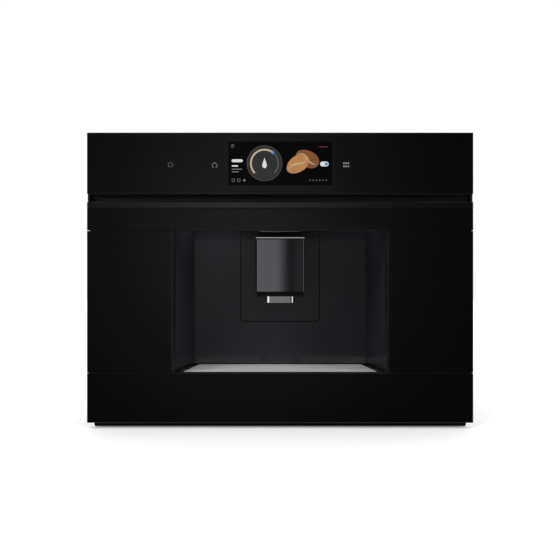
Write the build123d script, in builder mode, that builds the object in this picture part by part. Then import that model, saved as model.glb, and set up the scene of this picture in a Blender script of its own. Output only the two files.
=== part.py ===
from build123d import *

import os

# Built-in coffee machine for a 60 cm wide kitchen cabinet. Millimetres, +Z up, X to
# the right as seen from the front, the front facing -Y. The origin is the middle of
# the footprint on the cabinet shelf. Depths are counted back from the front glass.

# ---------------------------------------------------------------- driving sizes
width = 594.0  # front, side to side
depth = 385.0  # front glass to the rearmost face

# heights of the front, from the shelf up
shelf_gap = 8.6  # shelf to the door's lower edge
sill_height = 76.4  # bottom glass of the door, up to the niche window
window_height = 219.4  # niche window
band_height = 35.0  # glass band above the window
grip_height = 9.6  # bevelled grip strip along the door's top edge
finger_gap = 11.3  # open slot between the door and the control panel
panel_height = 94.7  # control panel glass

# front
side_glass = 130.0  # glass beside the window
glass_thick = 4.0
seam = 0.6  # gap between two front glasses
glass_corner = 1.5
glass_edge = 0.5  # polished edge break of the glass
front_thick = 20.5  # door, glass to back face
door_gap = 1.5  # door's back face to the mounting flange
window_frame = 3.5  # front edge of the window's frame
display_width = 159.8
display_height = 67.5

# casing
flange_thick = 1.5
flange_inset = 6.5  # side of the front to the side of the flange
flange_drop = 2.0  # top of the front to the top of the flange
opening_drop = 2.0  # top of the door to the top of the flange's opening
body_inset = 20.0  # side of the front to the side of the casing
body_drop = 8.0  # top of the front to the top of the casing's sides
sheet = 1.2  # casing sheet
rear_inset = 2.0  # rear panel to the rearmost face, for the inlet's collar
bay_depth = 176.0  # side bays, inside
frame_border = 24.5  # flange around its opening, at the sides
frame_sill = 12.0  # flange below its opening

# moulded inside
moulding = 2.0  # wall of the moulded pockets and trays
fascia_thick = 3.0
bay_gap = 8.0  # niche wall to the wall of a side bay
casing_gap = 9.8  # bay wall to the casing's side
niche_lip = 1.0  # niche floor line above the window's lower edge
niche_ceiling = 1.0  # niche ceiling below the flange's opening
bay_rise = 6.0  # bay floors above the niche's lower edge
bay_drop = 7.0  # bay tops below the flange's opening
niche_flare = 2.5  # niche mouth beyond the window, each side
niche_taper = 19.3  # narrowing of each side wall, front to back
niche_depth = 145.0  # front glass to the niche's back wall
cove_height = 11.0  # sloped strip at the foot of the back wall
cove_run = 6.0

# drip tray
plate_drop = 0.2  # top of the drip plate below the window's lower edge
plate_thick = 1.8
plate_lap = 7.0  # plate resting on the deck around the basin
tray_side_gap = 6.0  # niche mouth to the tray's side
tray_base = 17.0

# outlet
outlet_front = 40.0  # front glass to the outlet's cover
cover_width = 78.6
cover_height = 83.0
cup_height = 107.0  # drip plate to the nozzle
outlet_up = 32.0
outlet_down = 35.0

# fits
slide_gap = 0.3  # running gap under a sliding container
shaft_gap = 0.05  # radial, shaft turning or sliding in its hole
press_gap = 0.02  # radial, rod held in its hole

# ---------------------------------------------------------------- worked-out places
half = width / 2
window_bottom = shelf_gap + sill_height
window_top = window_bottom + window_height
band_top = window_top + band_height
door_top = band_top + grip_height
panel_bottom = door_top + finger_gap
height = panel_bottom + panel_height
panel_middle = panel_bottom + panel_height / 2
frame_half = half - side_glass  # outside of the window's frame
window_half = frame_half - window_frame

flange_front = front_thick + door_gap
flange_back = flange_front + flange_thick
flange_half = half - flange_inset
flange_top = height - flange_drop
opening_half = flange_half - frame_border
opening_high = door_top - opening_drop
fascia_back = flange_back + fascia_thick
body_half = half - body_inset
body_inner = body_half - sheet
body_top = height - body_drop
rear_back = depth - rear_inset
rear_front = rear_back - sheet

niche_front_half = window_half + niche_flare
niche_back_half = niche_front_half - niche_taper
niche_base = window_bottom + niche_lip
niche_top = opening_high - niche_ceiling
bay_inner = niche_front_half + moulding + bay_gap
bay_outer = body_inner - casing_gap - moulding
bay_middle = (bay_inner + bay_outer) / 2
bay_back = fascia_back + bay_depth
bay_rear = bay_back + moulding
bay_floor = niche_base + bay_rise
bay_top = opening_high - bay_drop


# ---------------------------------------------------------------- drawing helpers
# at() turns a depth into Y. The planes are upright and facing the front, level, and
# upright across the machine; slab, deck, stud, post and axle draw a block or a round
# rod between two limits on them, or cut one.
def at(d):
    return d - depth / 2


def facing(d):
    return Plane.XZ.offset(depth / 2 - d)


def plan(z):
    return Plane.XY.offset(z)


def across(x):
    return Plane.YZ.offset(x)


def span(u0, u1, v0, v1, corner=0.0):
    with Locations(((u0 + u1) / 2, (v0 + v1) / 2)):
        if corner:
            RectangleRounded(u1 - u0, v1 - v0, corner)
        else:
            Rectangle(u1 - u0, v1 - v0)


def slab(x0, x1, z0, z1, front, back, corner=0.0, mode=Mode.ADD):
    with BuildSketch(facing(back)) as outline:
        span(x0, x1, z0, z1, corner)
    extrude(outline.sketch, amount=back - front, mode=mode)


def deck(x0, x1, front, back, z0, z1, corner=0.0, mode=Mode.ADD):
    with BuildSketch(plan(z0)) as outline:
        span(x0, x1, at(front), at(back), corner)
    extrude(outline.sketch, amount=z1 - z0, mode=mode)


def stud(x, z, radius, front, back, mode=Mode.ADD):
    with BuildSketch(facing(back)) as outline:
        with Locations((x, z)):
            Circle(radius)
    extrude(outline.sketch, amount=back - front, mode=mode)


def post(x, d, radius, z0, z1, mode=Mode.ADD):
    with BuildSketch(plan(z0)) as outline:
        with Locations((x, at(d))):
            Circle(radius)
    extrude(outline.sketch, amount=z1 - z0, mode=mode)


def axle(d, z, radius, x0, x1, mode=Mode.ADD):
    with BuildSketch(across(x0)) as outline:
        with Locations((at(d), z)):
            Circle(radius)
    extrude(outline.sketch, amount=x1 - x0, mode=mode)


# breaks the edges of the frontmost face of the part that is open
def soften_front(size):
    chamfer(faces().sort_by(Axis.Y)[0].edges(), size)


def save(piece, label):
    piece.part.label = label
    export_step(piece.part, f"parts/{label}.step")


os.makedirs("parts", exist_ok=True)

# ================================================================ control panel
display_half = display_width / 2
display_low = panel_middle - display_height / 2
display_high = panel_middle + display_height / 2
screen_recess = 0.25

with BuildPart() as control_glass:
    slab(-half, half, panel_bottom, height, 0, glass_thick, glass_corner)
    soften_front(glass_edge)
    slab(
        -display_half,
        display_half,
        display_low,
        display_high,
        0,
        glass_thick,
        mode=Mode.SUBTRACT,
    )
save(control_glass, "control_glass")

# the screen fills the window in the glass, with its module behind
module_margin = 4.0
module_thick = 6.0
module_corner = 1.0
module_back = glass_thick + module_thick
with BuildPart() as display_screen:
    slab(-display_half, display_half, display_low, display_high, screen_recess, glass_thick)
    slab(
        -display_half - module_margin,
        display_half + module_margin,
        display_low - module_margin,
        display_high + module_margin,
        glass_thick,
        module_back,
        module_corner,
    )
save(display_screen, "display_screen")

# moulded case behind the glass, with pillars that carry the circuit board
case_inset = 4.0  # from the edge of the glass
case_foot = 3.0  # thickness of the recess's roof, which the case stands on
case_corner = 3.0
board_inset = 8.0  # case to board, above and below
board_gap = 2.0  # display module to board
board_thick = 1.6
pillar_r = 3.5
pillar_inset = 7.0
power_touch = 89.1  # touch places beside the display
home_touch = 21.8
start_touch = 21.6
board_left_margin = 16.0
board_right_margin = 23.5
touch_x = (-display_half - power_touch, -display_half - home_touch, display_half + start_touch)
board_left = touch_x[0] - board_left_margin
board_right = touch_x[2] + board_right_margin
case_low = panel_bottom + case_foot
case_high = height - case_inset
case_back = flange_front - moulding
board_front = module_back + board_gap
board_back = board_front + board_thick
board_low = case_low + board_inset
board_high = case_high - board_inset
pillar_places = [
    (x, z)
    for x in (board_left + pillar_inset, board_right - pillar_inset)
    for z in (board_low + pillar_inset, board_high - pillar_inset)
]
cable_inset = 100.0  # side of the front to the cables' way through to the works
cable_x = half - cable_inset
cable_width = 40.0
cable_height = 20.0
cable_hole = (
    cable_x - cable_width / 2,
    cable_x + cable_width / 2,
    panel_middle - cable_height / 2,
    panel_middle + cable_height / 2,
)
with BuildPart() as control_housing:
    slab(
        case_inset - half,
        half - case_inset,
        case_low,
        case_high,
        glass_thick,
        flange_front,
        case_corner,
    )
    slab(
        case_inset + moulding - half,
        half - case_inset - moulding,
        case_low + moulding,
        case_high - moulding,
        glass_thick,
        case_back,
        case_corner - moulding,
        Mode.SUBTRACT,
    )
    for x, z in pillar_places:
        stud(x, z, pillar_r, board_back, case_back)
    slab(*cable_hole, case_back, flange_front, case_corner, Mode.SUBTRACT)
save(control_housing, "control_housing")

# board with chips on its back, and the sensor columns that reach the glass
sensor_r = 6.0
board_corner = 2.0
chip_thick = 2.4
chips = ((-90, 26, 26), (-20, 40, 30), (50, 18, 34), (-140, 16, 16))  # x, width, height
with BuildPart() as control_board:
    slab(board_left, board_right, board_low, board_high, board_front, board_back, board_corner)
    for x, w, h in chips:
        low = panel_middle - h / 2
        slab(x - w / 2, x + w / 2, low, low + h, board_back, board_back + chip_thick)
    for x in touch_x:
        stud(x, panel_middle, sensor_r, glass_thick, board_front)
save(control_board, "control_board")

# slot for the fingers, rounded inside, with a cheek at each end
recess_fillet = 8.0
recess_cheek = 3.0
recess_inset = 1.0  # front of the cheeks, and their ends, behind the glass
recess_lap = 1.0  # below the grip strip
cheek_gap = 0.4  # above the door
recess_half = half - recess_inset
with BuildPart() as finger_recess:
    with BuildSketch(across(-recess_half)):
        span(at(glass_thick), at(flange_front), panel_bottom, case_low)
        span(at(case_back), at(flange_front), band_top - recess_lap, panel_bottom)
    extrude(amount=2 * recess_half)
    lines = edges().filter_by(Axis.X)
    fillet(lines.sort_by_distance((0, at(case_back), panel_bottom))[0], recess_fillet)
    for x in (-recess_half, recess_half - recess_cheek):
        with BuildSketch(across(x)):
            span(at(recess_inset), at(case_back), door_top + cheek_gap, panel_bottom)
        extrude(amount=recess_cheek)
save(finger_recess, "finger_recess")

# ================================================================ casing
screw_r = 1.6
screw_head_r = 3.6
screw_head = 1.6
screw_reach = 6.0
screw_gap = 0.2
screw_pass = screw_r + screw_gap
vent_width = 4.0
vent_length = 44.0
vent_pitch = 12.0
vent_gap = 14.0
vent_row = vent_length + vent_gap
frame_corner = 3.0

# hinges and mounting screws share the flange's sides
hinge_inset = 5.0  # door's side edge to the hinge axis
hinge_depth = 8.0  # front glass to the hinge axis
knuckle_length = 16.0
lower_hinge = 61.4  # above the door's lower edge
upper_hinge = 49.0  # below the door's top
lower_hinge_z = shelf_gap + lower_hinge
upper_hinge_z = door_top - upper_hinge
mount_hole_r = 2.25
mount_hole_inset = 5.5
mount_hole_below = 30.0  # below the lower hinge
mount_hole_above = 25.0  # above the upper hinge
mount_hole_x = flange_half - mount_hole_inset
mount_holes = [
    (x, z)
    for x in (-mount_hole_x, mount_hole_x)
    for z in (lower_hinge_z - mount_hole_below, upper_hinge_z + mount_hole_above)
]

with BuildPart() as front_frame:
    slab(-flange_half, flange_half, 0, flange_top, flange_front, flange_back, frame_corner)
    slab(
        -opening_half,
        opening_half,
        frame_sill,
        opening_high,
        flange_front,
        flange_back,
        frame_corner,
        Mode.SUBTRACT,
    )
    slab(*cable_hole, flange_front, flange_back, case_corner, Mode.SUBTRACT)
    for x, z in mount_holes:
        stud(x, z, mount_hole_r, flange_front, flange_back, Mode.SUBTRACT)
save(front_frame, "front_frame")

side_vents = 9
side_vent_inset = 133.0  # in front of the rear panel's back
side_vent_drop = 117.0
side_vent_depth = rear_back - side_vent_inset
side_vent_z = body_top - side_vent_drop


# plain side with a row of upright vents towards the back
def side_panel(x0):
    with BuildSketch(across(x0)) as outline:
        span(at(flange_back), at(rear_front), 0, body_top)
        with Locations((at(side_vent_depth), side_vent_z)):
            with GridLocations(vent_pitch, 1, side_vents, 1):
                SlotOverall(vent_length, vent_width, rotation=90, mode=Mode.SUBTRACT)
    extrude(outline.sketch, amount=sheet)


with BuildPart() as left_side_panel:
    side_panel(-body_half)
save(left_side_panel, "left_side_panel")

with BuildPart() as right_side_panel:
    side_panel(body_inner)
save(right_side_panel, "right_side_panel")

# inlet cut-out and louvres in the rear panel
pan_lip = 14.0
inlet_inset = 52.0
inlet_x = inlet_inset - body_half
inlet_z = 60.0
inlet_width = 28.0
inlet_height = 21.0
inlet_hole = (
    inlet_x - inlet_width / 2,
    inlet_x + inlet_width / 2,
    inlet_z - inlet_height / 2,
    inlet_z + inlet_height / 2,
)
screw_inset = 15.0
screw_column = body_half - screw_inset
rear_screws = [
    (x, z)
    for x in (-screw_column, -screw_column / 3, screw_column / 3, screw_column)
    for z in (pan_lip / 2, body_top - pan_lip)
]
rear_vents = 16
rear_vent_x = 90.0
rear_vent_drop = 77.0
rear_vent_z = body_top - rear_vent_drop
with BuildPart() as rear_panel:
    slab(-body_half, body_half, 0, body_top, rear_front, rear_back)
    with BuildSketch(facing(rear_back)):
        with Locations((rear_vent_x, rear_vent_z)):
            with GridLocations(vent_pitch, vent_row, rear_vents, 2):
                SlotOverall(vent_length, vent_width, rotation=90)
    extrude(amount=sheet, mode=Mode.SUBTRACT)
    slab(*inlet_hole, rear_front, rear_back, mode=Mode.SUBTRACT)
    for x, z in rear_screws:
        stud(x, z, screw_pass, rear_front, rear_back, Mode.SUBTRACT)
save(rear_panel, "rear_panel")

top_screw_inset = 18.0
top_screws = [
    (x, d)
    for x in (-screw_column, 0, screw_column)
    for d in (flange_back + top_screw_inset, rear_back - top_screw_inset)
]
top_vents = 12
top_vent_x = 170.0
top_vent_inset = 83.0
top_vent_depth = rear_back - top_vent_inset
with BuildPart() as top_cover:
    deck(-body_half, body_half, flange_back, rear_back, body_top, body_top + sheet)
    with BuildSketch(plan(body_top)):
        for x in (-top_vent_x, top_vent_x):
            with Locations((x, at(top_vent_depth))):
                with GridLocations(vent_pitch, 1, top_vents, 1):
                    SlotOverall(vent_length, vent_width, rotation=90)
    extrude(amount=sheet, mode=Mode.SUBTRACT)
    for x, d in top_screws:
        post(x, d, screw_pass, body_top, body_top + sheet, Mode.SUBTRACT)
save(top_cover, "top_cover")

# shallow pan with a lip at the sides and the back
pan_vents = 7
pan_vent_x = 215.0
with BuildPart() as base_pan:
    deck(-body_inner, body_inner, flange_back, rear_front, 0, pan_lip)
    deck(
        sheet - body_inner,
        body_inner - sheet,
        flange_back,
        rear_front - sheet,
        sheet,
        pan_lip,
        mode=Mode.SUBTRACT,
    )
    for x, z in rear_screws:
        stud(x, z, screw_pass, rear_front - sheet, rear_front, Mode.SUBTRACT)
    with BuildSketch(plan(0)):
        for x in (-pan_vent_x, pan_vent_x):
            with Locations((x, at(top_vent_depth))):
                with GridLocations(vent_pitch, vent_row, pan_vents, 2):
                    SlotOverall(vent_length, vent_width, rotation=90)
    extrude(amount=sheet, mode=Mode.SUBTRACT)
save(base_pan, "base_pan")

with BuildPart() as housing_screws:
    for x, z in rear_screws:
        stud(x, z, screw_head_r, rear_back, rear_back + screw_head)
        stud(x, z, screw_r, rear_back - screw_reach, rear_back)
    for x, d in top_screws:
        top = body_top + sheet
        post(x, d, screw_head_r, top, top + screw_head)
        post(x, d, screw_r, top - screw_reach, top)
save(housing_screws, "housing_screws")

# ================================================================ outlet guide sizes
guide_plate = 2.0  # mounting plate in the niche's back wall
guide_block = 18.0  # blocks that hold the rods, from the plate back
guide_back = niche_depth + guide_plate
block_back = guide_back + guide_block
rod_depth = guide_back + guide_block / 2

# ================================================================ inner front
tray_half = niche_front_half - tray_side_gap
tray_clear = 2.0  # tray to the opening that it slides through
fascia_lap = 6.0  # fascia reaching behind the flange's opening edge
opening_corner = 1.5
switch_aside = 5.0  # towards the middle, from the bay's middle
switch_x = bay_middle - switch_aside
switch_z = 50.0
switch_width = 14.0
switch_height = 24.0
switch_hole = (
    switch_x - switch_width / 2,
    switch_x + switch_width / 2,
    switch_z - switch_height / 2,
    switch_z + switch_height / 2,
)
bay_sides = {"left": (-bay_outer, -bay_inner), "right": (bay_inner, bay_outer)}
with BuildPart() as inner_fascia:
    slab(
        -opening_half - fascia_lap,
        opening_half + fascia_lap,
        frame_sill - fascia_lap,
        opening_high + fascia_lap / 2,
        flange_back,
        fascia_back,
        frame_corner,
    )
    for x0, x1 in bay_sides.values():
        slab(
            x0,
            x1,
            bay_floor,
            bay_top,
            flange_back,
            fascia_back,
            opening_corner,
            Mode.SUBTRACT,
        )
    slab(
        -niche_front_half,
        niche_front_half,
        niche_base - tray_clear,
        niche_top,
        flange_back,
        fascia_back,
        mode=Mode.SUBTRACT,
    )
    slab(
        -tray_half - tray_clear,
        tray_half + tray_clear,
        tray_base - tray_clear / 2,
        niche_base,
        flange_back,
        fascia_back,
        mode=Mode.SUBTRACT,
    )
    slab(*switch_hole, flange_back, fascia_back, mode=Mode.SUBTRACT)
save(inner_fascia, "inner_fascia")

# grinder and brewing unit, placed one after the other behind the left bay
grinder_r = 34.0
grinder_gap = 7.5  # behind the bay
grinder_depth = bay_rear + grinder_gap + grinder_r
grinder_x = -bay_middle
brew_forward = 6.0  # brewing unit in front of the grinder
brew_depth = grinder_depth - brew_forward
brew_gap = 43.0  # grinder motor's foot to the brewing unit, side to side
motor_r = 26.0
motor_foot = 31.0
brew_half = 46.0
brew_x = grinder_x + motor_foot + brew_gap + brew_half
chamber_r = 25.0
puck_half = 32.0  # way for the spent puck
puck_fore = 32.0
puck_aft = 9.0
puck_front = brew_depth - puck_fore
puck_back = brew_depth + puck_aft

# shelf inside the casing that carries the works, over the drip tray
shelf_thick = 1.5
shelf_rise = 0.5  # above the niche's lower edge
puck_clear = 2.0
shelf_corner = 4.0
shelf_gap_back = 3.0  # shelf behind the outlet's guide
shelf_base = niche_base + shelf_rise
shelf_top = shelf_base + shelf_thick
with BuildPart() as shelf_deck:
    deck(-body_inner, body_inner, bay_rear, rear_front, shelf_base, shelf_top)
    deck(
        moulding - bay_inner,
        bay_inner - moulding,
        block_back + shelf_gap_back,
        rear_front,
        shelf_base,
        shelf_top,
    )
    deck(
        brew_x - puck_half - puck_clear,
        brew_x + puck_half + puck_clear,
        puck_front - puck_clear,
        puck_back + puck_clear,
        shelf_base,
        shelf_top,
        shelf_corner,
        Mode.SUBTRACT,
    )
save(shelf_deck, "shelf_deck")


# moulded pocket behind the fascia, open at the front and the top
def bay(x0, x1):
    deck(x0 - moulding, x1 + moulding, fascia_back, bay_rear, bay_floor - moulding, bay_top)
    deck(x0, x1, fascia_back, bay_back, bay_floor, bay_top, mode=Mode.SUBTRACT)


# the bean container stands on ledges, and its beans leave by a port in the back
bean_height = 72.0
bean_headroom = 23.0  # bean container to the top of its bay
bean_base = bay_top - bean_headroom - bean_height
ledge = 6.0
ledge_thick = 4.0
ledge_top = bean_base - slide_gap
ledge_base = ledge_top - ledge_thick
port_half = 16.0
port_rise = 4.0
port_height = 26.0
port_low = bean_base + port_rise
port_high = port_low + port_height
with BuildPart() as left_bay:
    bay(*bay_sides["left"])
    for x in (-bay_outer, -bay_inner - ledge):
        deck(x, x + ledge, fascia_back, bay_back, ledge_base, ledge_top)
    slab(
        -bay_middle - port_half,
        -bay_middle + port_half,
        port_low,
        port_high,
        bay_back,
        bay_rear,
        mode=Mode.SUBTRACT,
    )
save(left_bay, "left_bay")

# the tank's nipple plugs into a socket on the back wall
nipple_r = 6.0
nipple_rise = 14.0
nipple_z = bay_floor + nipple_rise
socket_r = nipple_r + slide_gap
socket_wall = 3.0
socket_fore = 6.0  # into the bay
socket_aft = 12.0  # behind the bay's back
socket_front = bay_back - socket_fore
socket_back = bay_back + socket_aft
socket_end = 4.0
with BuildPart() as right_bay:
    bay(*bay_sides["right"])
    stud(bay_middle, nipple_z, socket_r + socket_wall, socket_front, socket_back)
    stud(bay_middle, nipple_z, socket_r, socket_front, socket_back - socket_end, Mode.SUBTRACT)
save(right_bay, "right_bay")


# plan of the niche, wider at the front, grown by a wall
def niche_outline(grow):
    Polygon(
        (-niche_front_half - grow, at(fascia_back)),
        (niche_front_half + grow, at(fascia_back)),
        (niche_back_half + grow, at(niche_depth + grow)),
        (-niche_back_half - grow, at(niche_depth + grow)),
        align=None,
    )


# tapered walls, back and ceiling, with a cut-out for the outlet's mounting plate
mount_half = 67.6
mount_rise = 71.8  # above the window's lower edge
mount_low = window_bottom + mount_rise
mount_corner = 7.0
mount_gap = 1.0
with BuildPart() as niche_liner:
    with BuildSketch(plan(niche_base)):
        niche_outline(moulding)
    extrude(amount=niche_top + moulding - niche_base)
    with BuildSketch(plan(niche_base)):
        niche_outline(0)
    extrude(amount=niche_top - niche_base, mode=Mode.SUBTRACT)
    with BuildSketch(across(-niche_back_half)):
        with BuildLine():
            Polyline(
                (at(niche_depth), niche_base),
                (at(niche_depth - cove_run), niche_base),
                (at(niche_depth), niche_base + cove_height),
                close=True,
            )
        make_face()
    extrude(amount=2 * niche_back_half)
    slab(
        -mount_half,
        mount_half,
        mount_low,
        niche_top + 2 * mount_corner,
        niche_depth,
        niche_depth + moulding,
        mount_corner,
        Mode.SUBTRACT,
    )
save(niche_liner, "niche_liner")

lamp_half = 60.0
lamp_depth = 95.0
lamp_wide = 10.0
lamp_thick = 3.0
lamp_corner = 2.0
with BuildPart() as niche_lamp:
    deck(
        -lamp_half,
        lamp_half,
        lamp_depth - lamp_wide / 2,
        lamp_depth + lamp_wide / 2,
        niche_top - lamp_thick,
        niche_top,
        lamp_corner,
    )
save(niche_lamp, "niche_lamp")

# ================================================================ outlet
plate_top = window_bottom - plate_drop
plate_base = plate_top - plate_thick
nozzle_drop = 10.2
nozzle_low = plate_top + cup_height
head_base = nozzle_low + nozzle_drop
head_chin = 7.7  # black strip below the cover
cover_low = head_base + head_chin
cover_top = cover_low + cover_height
cover_half = cover_width / 2

# arm through the back wall, and the carriage that it hangs on
arm_half = 6.0
arm_rise = 32.3  # above the cover's lower edge
arm_tall = 36.0
arm_low = cover_low + arm_rise
arm_high = arm_low + arm_tall
arm_slot_gap = 1.0
slot_corner = 3.0
arm_margin = 4.0  # head below the arm, at its back
head_gap = 2.0  # head to the niche's back wall
head_back = niche_depth - head_gap
carriage_half = 34.0
carriage_over = 6.0  # carriage above and below the arm
carriage_gap = 2.0  # carriage to the mounting plate, and inside the blocks
carriage_corner = 3.0
carriage_front = guide_back + carriage_gap
rod_r = 3.0
rod_x = 22.0
block_half = 80.0
block_high = 10.0
block_rise = 8.2
block_drop = 1.0
block_low = mount_low + block_rise
block_top = niche_top - block_drop
rod_low = block_low + block_high / 2
rod_high = block_top - block_high / 2
with BuildPart() as outlet_backplate:
    slab(
        mount_gap - mount_half,
        mount_half - mount_gap,
        mount_low + mount_gap,
        block_top,
        niche_depth,
        guide_back,
    )
    for z in (block_low, block_top - block_high):
        slab(-block_half, block_half, z, z + block_high, guide_back, block_back)
    for x in (-rod_x, rod_x):
        post(x, rod_depth, rod_r + press_gap, rod_low, rod_high, Mode.SUBTRACT)
    slab(
        -arm_half - arm_slot_gap,
        arm_half + arm_slot_gap,
        arm_low - outlet_down - arm_slot_gap,
        arm_high + outlet_up + arm_slot_gap,
        niche_depth,
        guide_back,
        slot_corner,
        Mode.SUBTRACT,
    )
    low_corners = edges().filter_by(Axis.Y).group_by(Axis.Z)[0]
    fillet(low_corners, mount_corner - mount_gap)
save(outlet_backplate, "outlet_backplate")

with BuildPart() as outlet_rails:
    for x in (-rod_x, rod_x):
        post(x, rod_depth, rod_r, rod_low, rod_high)
save(outlet_rails, "outlet_rails")

with BuildPart() as outlet_carriage:
    slab(
        -carriage_half,
        carriage_half,
        arm_low - carriage_over,
        arm_high + carriage_over,
        carriage_front,
        block_back - carriage_gap,
        carriage_corner,
    )
    slab(-arm_half, arm_half, arm_low, arm_high, head_back, carriage_front)
    for x in (-rod_x, rod_x):
        low = arm_low - carriage_over
        post(x, rod_depth, rod_r + shaft_gap, low, arm_high + carriage_over, Mode.SUBTRACT)
save(outlet_carriage, "outlet_carriage")

# black head: sloping roof, upright front behind the cover, raised underside at the back
cover_skin = 1.5
cover_wrap = 12.0  # how far the cover reaches round the sides
cover_corner = 4.0
head_side_gap = 0.3
cover_gap = 3.0  # cover's face to the head
head_front = outlet_front + cover_gap
head_half = cover_half - cover_skin - head_side_gap
head_taper = 3.5
head_rise = 4.3  # roof's front edge above the cover
head_back_half = head_half - head_taper
head_roof = cover_top + head_rise
head_roof_rise = 14.0
head_nose = 6.0
head_nose_drop = 2.0
chin_run = 5.0
nozzle_inset = 10.0
nozzle_front = outlet_front + nozzle_inset
nozzle_length = 32.0
nozzle_back = nozzle_front + nozzle_length
underside_run = 12.0
peg_r = 3.0
peg_gap = 0.1
peg_reach = 3.0
peg_inset = 14.0
peg_x = 26.0
peg_tip = head_front + peg_reach
peg_places = [
    (x, z)
    for x in (-peg_x, peg_x)
    for z in (cover_low + peg_inset, cover_top - peg_inset)
]
with BuildPart() as outlet_housing:
    with BuildSketch(across(-head_half)):
        with BuildLine():
            Polyline(
                (at(head_front + chin_run), head_base),
                (at(nozzle_back + underside_run), head_base),
                (at(head_back), arm_low - arm_margin),
                (at(head_back), head_roof + head_roof_rise),
                (at(head_front + head_nose), head_roof),
                (at(head_front), head_roof - head_nose_drop),
                (at(head_front), cover_low),
                close=True,
            )
        make_face()
    extrude(amount=2 * head_half)
    with BuildSketch(plan(head_base)):
        Polygon(
            (-head_half, at(head_front)),
            (head_half, at(head_front)),
            (head_back_half, at(head_back)),
            (-head_back_half, at(head_back)),
            align=None,
        )
    extrude(amount=head_roof + head_roof_rise - head_base, mode=Mode.INTERSECT)
    for x, z in peg_places:
        stud(x, z, peg_r + peg_gap, head_front, peg_tip + peg_gap, Mode.SUBTRACT)
save(outlet_housing, "outlet_housing")

# bright strip round the head, just above the cover
trim_gap = 1.7
trim_thick = 1.6
trim_base = cover_top + trim_gap
trim_inset = 0.3
trim_front = outlet_front + trim_inset
with BuildPart() as outlet_trim:
    deck(
        -cover_half,
        cover_half,
        trim_front,
        outlet_front + cover_wrap,
        trim_base,
        trim_base + trim_thick,
    )
    fillet(edges().filter_by(Axis.Z).group_by(Axis.Y)[0], cover_corner)
    deck(
        -head_half,
        head_half,
        head_front,
        outlet_front + cover_wrap,
        trim_base,
        trim_base + trim_thick,
        mode=Mode.SUBTRACT,
    )
save(outlet_trim, "outlet_trim")

nozzle_half = 23.4
nozzle_corner = 7.0
nozzle_round = 0.6
spout_x = 9.0
spout_r = 2.6
with BuildPart() as outlet_nozzle:
    deck(
        -nozzle_half,
        nozzle_half,
        nozzle_front,
        nozzle_back,
        nozzle_low,
        head_base,
        nozzle_corner,
    )
    for x in (-spout_x, spout_x):
        spout_depth = nozzle_front + nozzle_length / 2
        post(x, spout_depth, spout_r, nozzle_low, head_base, Mode.SUBTRACT)
    fillet(faces().sort_by(Axis.Z)[0].outer_wire().edges(), nozzle_round)
save(outlet_nozzle, "outlet_nozzle")

with BuildPart() as outlet_cover:
    deck(-cover_half, cover_half, outlet_front, outlet_front + cover_wrap, cover_low, cover_top)
    fillet(edges().filter_by(Axis.Z).group_by(Axis.Y)[0], cover_corner)
    deck(
        cover_skin - cover_half,
        cover_half - cover_skin,
        outlet_front + cover_skin,
        outlet_front + cover_wrap,
        cover_low,
        cover_top,
        mode=Mode.SUBTRACT,
    )
    for x, z in peg_places:
        stud(x, z, peg_r, outlet_front + cover_skin, peg_tip)
save(outlet_cover, "outlet_cover")

# ================================================================ door
back_thick = 1.5
frame_back = front_thick - back_thick
frame_inset = 1.5  # door frame inside the glass outline
frame_skin = 2.5
frame_low = shelf_gap + frame_inset
frame_drop = 2.5  # door frame below the band's top edge
frame_high = band_top - frame_drop
frame_round = 2.0
rib = 2.5
pocket_margin = 12.0
pocket_round = 3.0
sight_low = window_bottom - window_frame  # window cut through the door frame
sight_high = window_top + window_frame
hinge_x = hinge_inset - half
hinge_heights = (lower_hinge_z, upper_hinge_z)
notch_reach = 16.0  # notch in the door round a hinge, from its axis inwards
notch_gap = 1.0
pin_r = 1.5
pin_bury = 12.0  # pin above and below its knuckle


# one pane of the front, with rounded corners and broken edges
def glass_pane(x0, x1, z0, z1):
    slab(x0, x1, z0, z1, 0, glass_thick, glass_corner / 2)
    soften_front(glass_edge)


with BuildPart() as bottom_glass:
    glass_pane(-half, half, shelf_gap, window_bottom)
save(bottom_glass, "bottom_glass")

with BuildPart() as left_glass:
    glass_pane(-half, -frame_half, window_bottom + seam, window_top - seam)
save(left_glass, "left_glass")

with BuildPart() as right_glass:
    glass_pane(frame_half, half, window_bottom + seam, window_top - seam)
save(right_glass, "right_glass")

with BuildPart() as band_glass:
    glass_pane(-half, half, window_top, band_top - seam)
save(band_glass, "band_glass")

# grip strip: leaning front and rounded top, gripped from above
grip_lean = 1.6
grip_thick = 8.0
grip_round = 2.0
with BuildPart() as door_grip:
    with BuildSketch(across(-half)):
        with BuildLine():
            Polyline(
                (at(0), band_top),
                (at(grip_lean), door_top),
                (at(grip_thick), door_top),
                (at(grip_thick), frame_high),
                (at(glass_thick), frame_high),
                (at(glass_thick), band_top),
                close=True,
            )
        make_face()
    extrude(amount=width)
    fillet(edges().filter_by(Axis.X).group_by(Axis.Z)[-1], grip_round)
save(door_grip, "door_grip")


# clears the door round each fixed knuckle
def hinge_notches(front, back):
    for z in hinge_heights:
        slab(
            -half,
            hinge_x + notch_reach,
            z - knuckle_length / 2 - notch_gap,
            z + knuckle_length / 2 + notch_gap,
            front,
            back,
            mode=Mode.SUBTRACT,
        )


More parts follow.
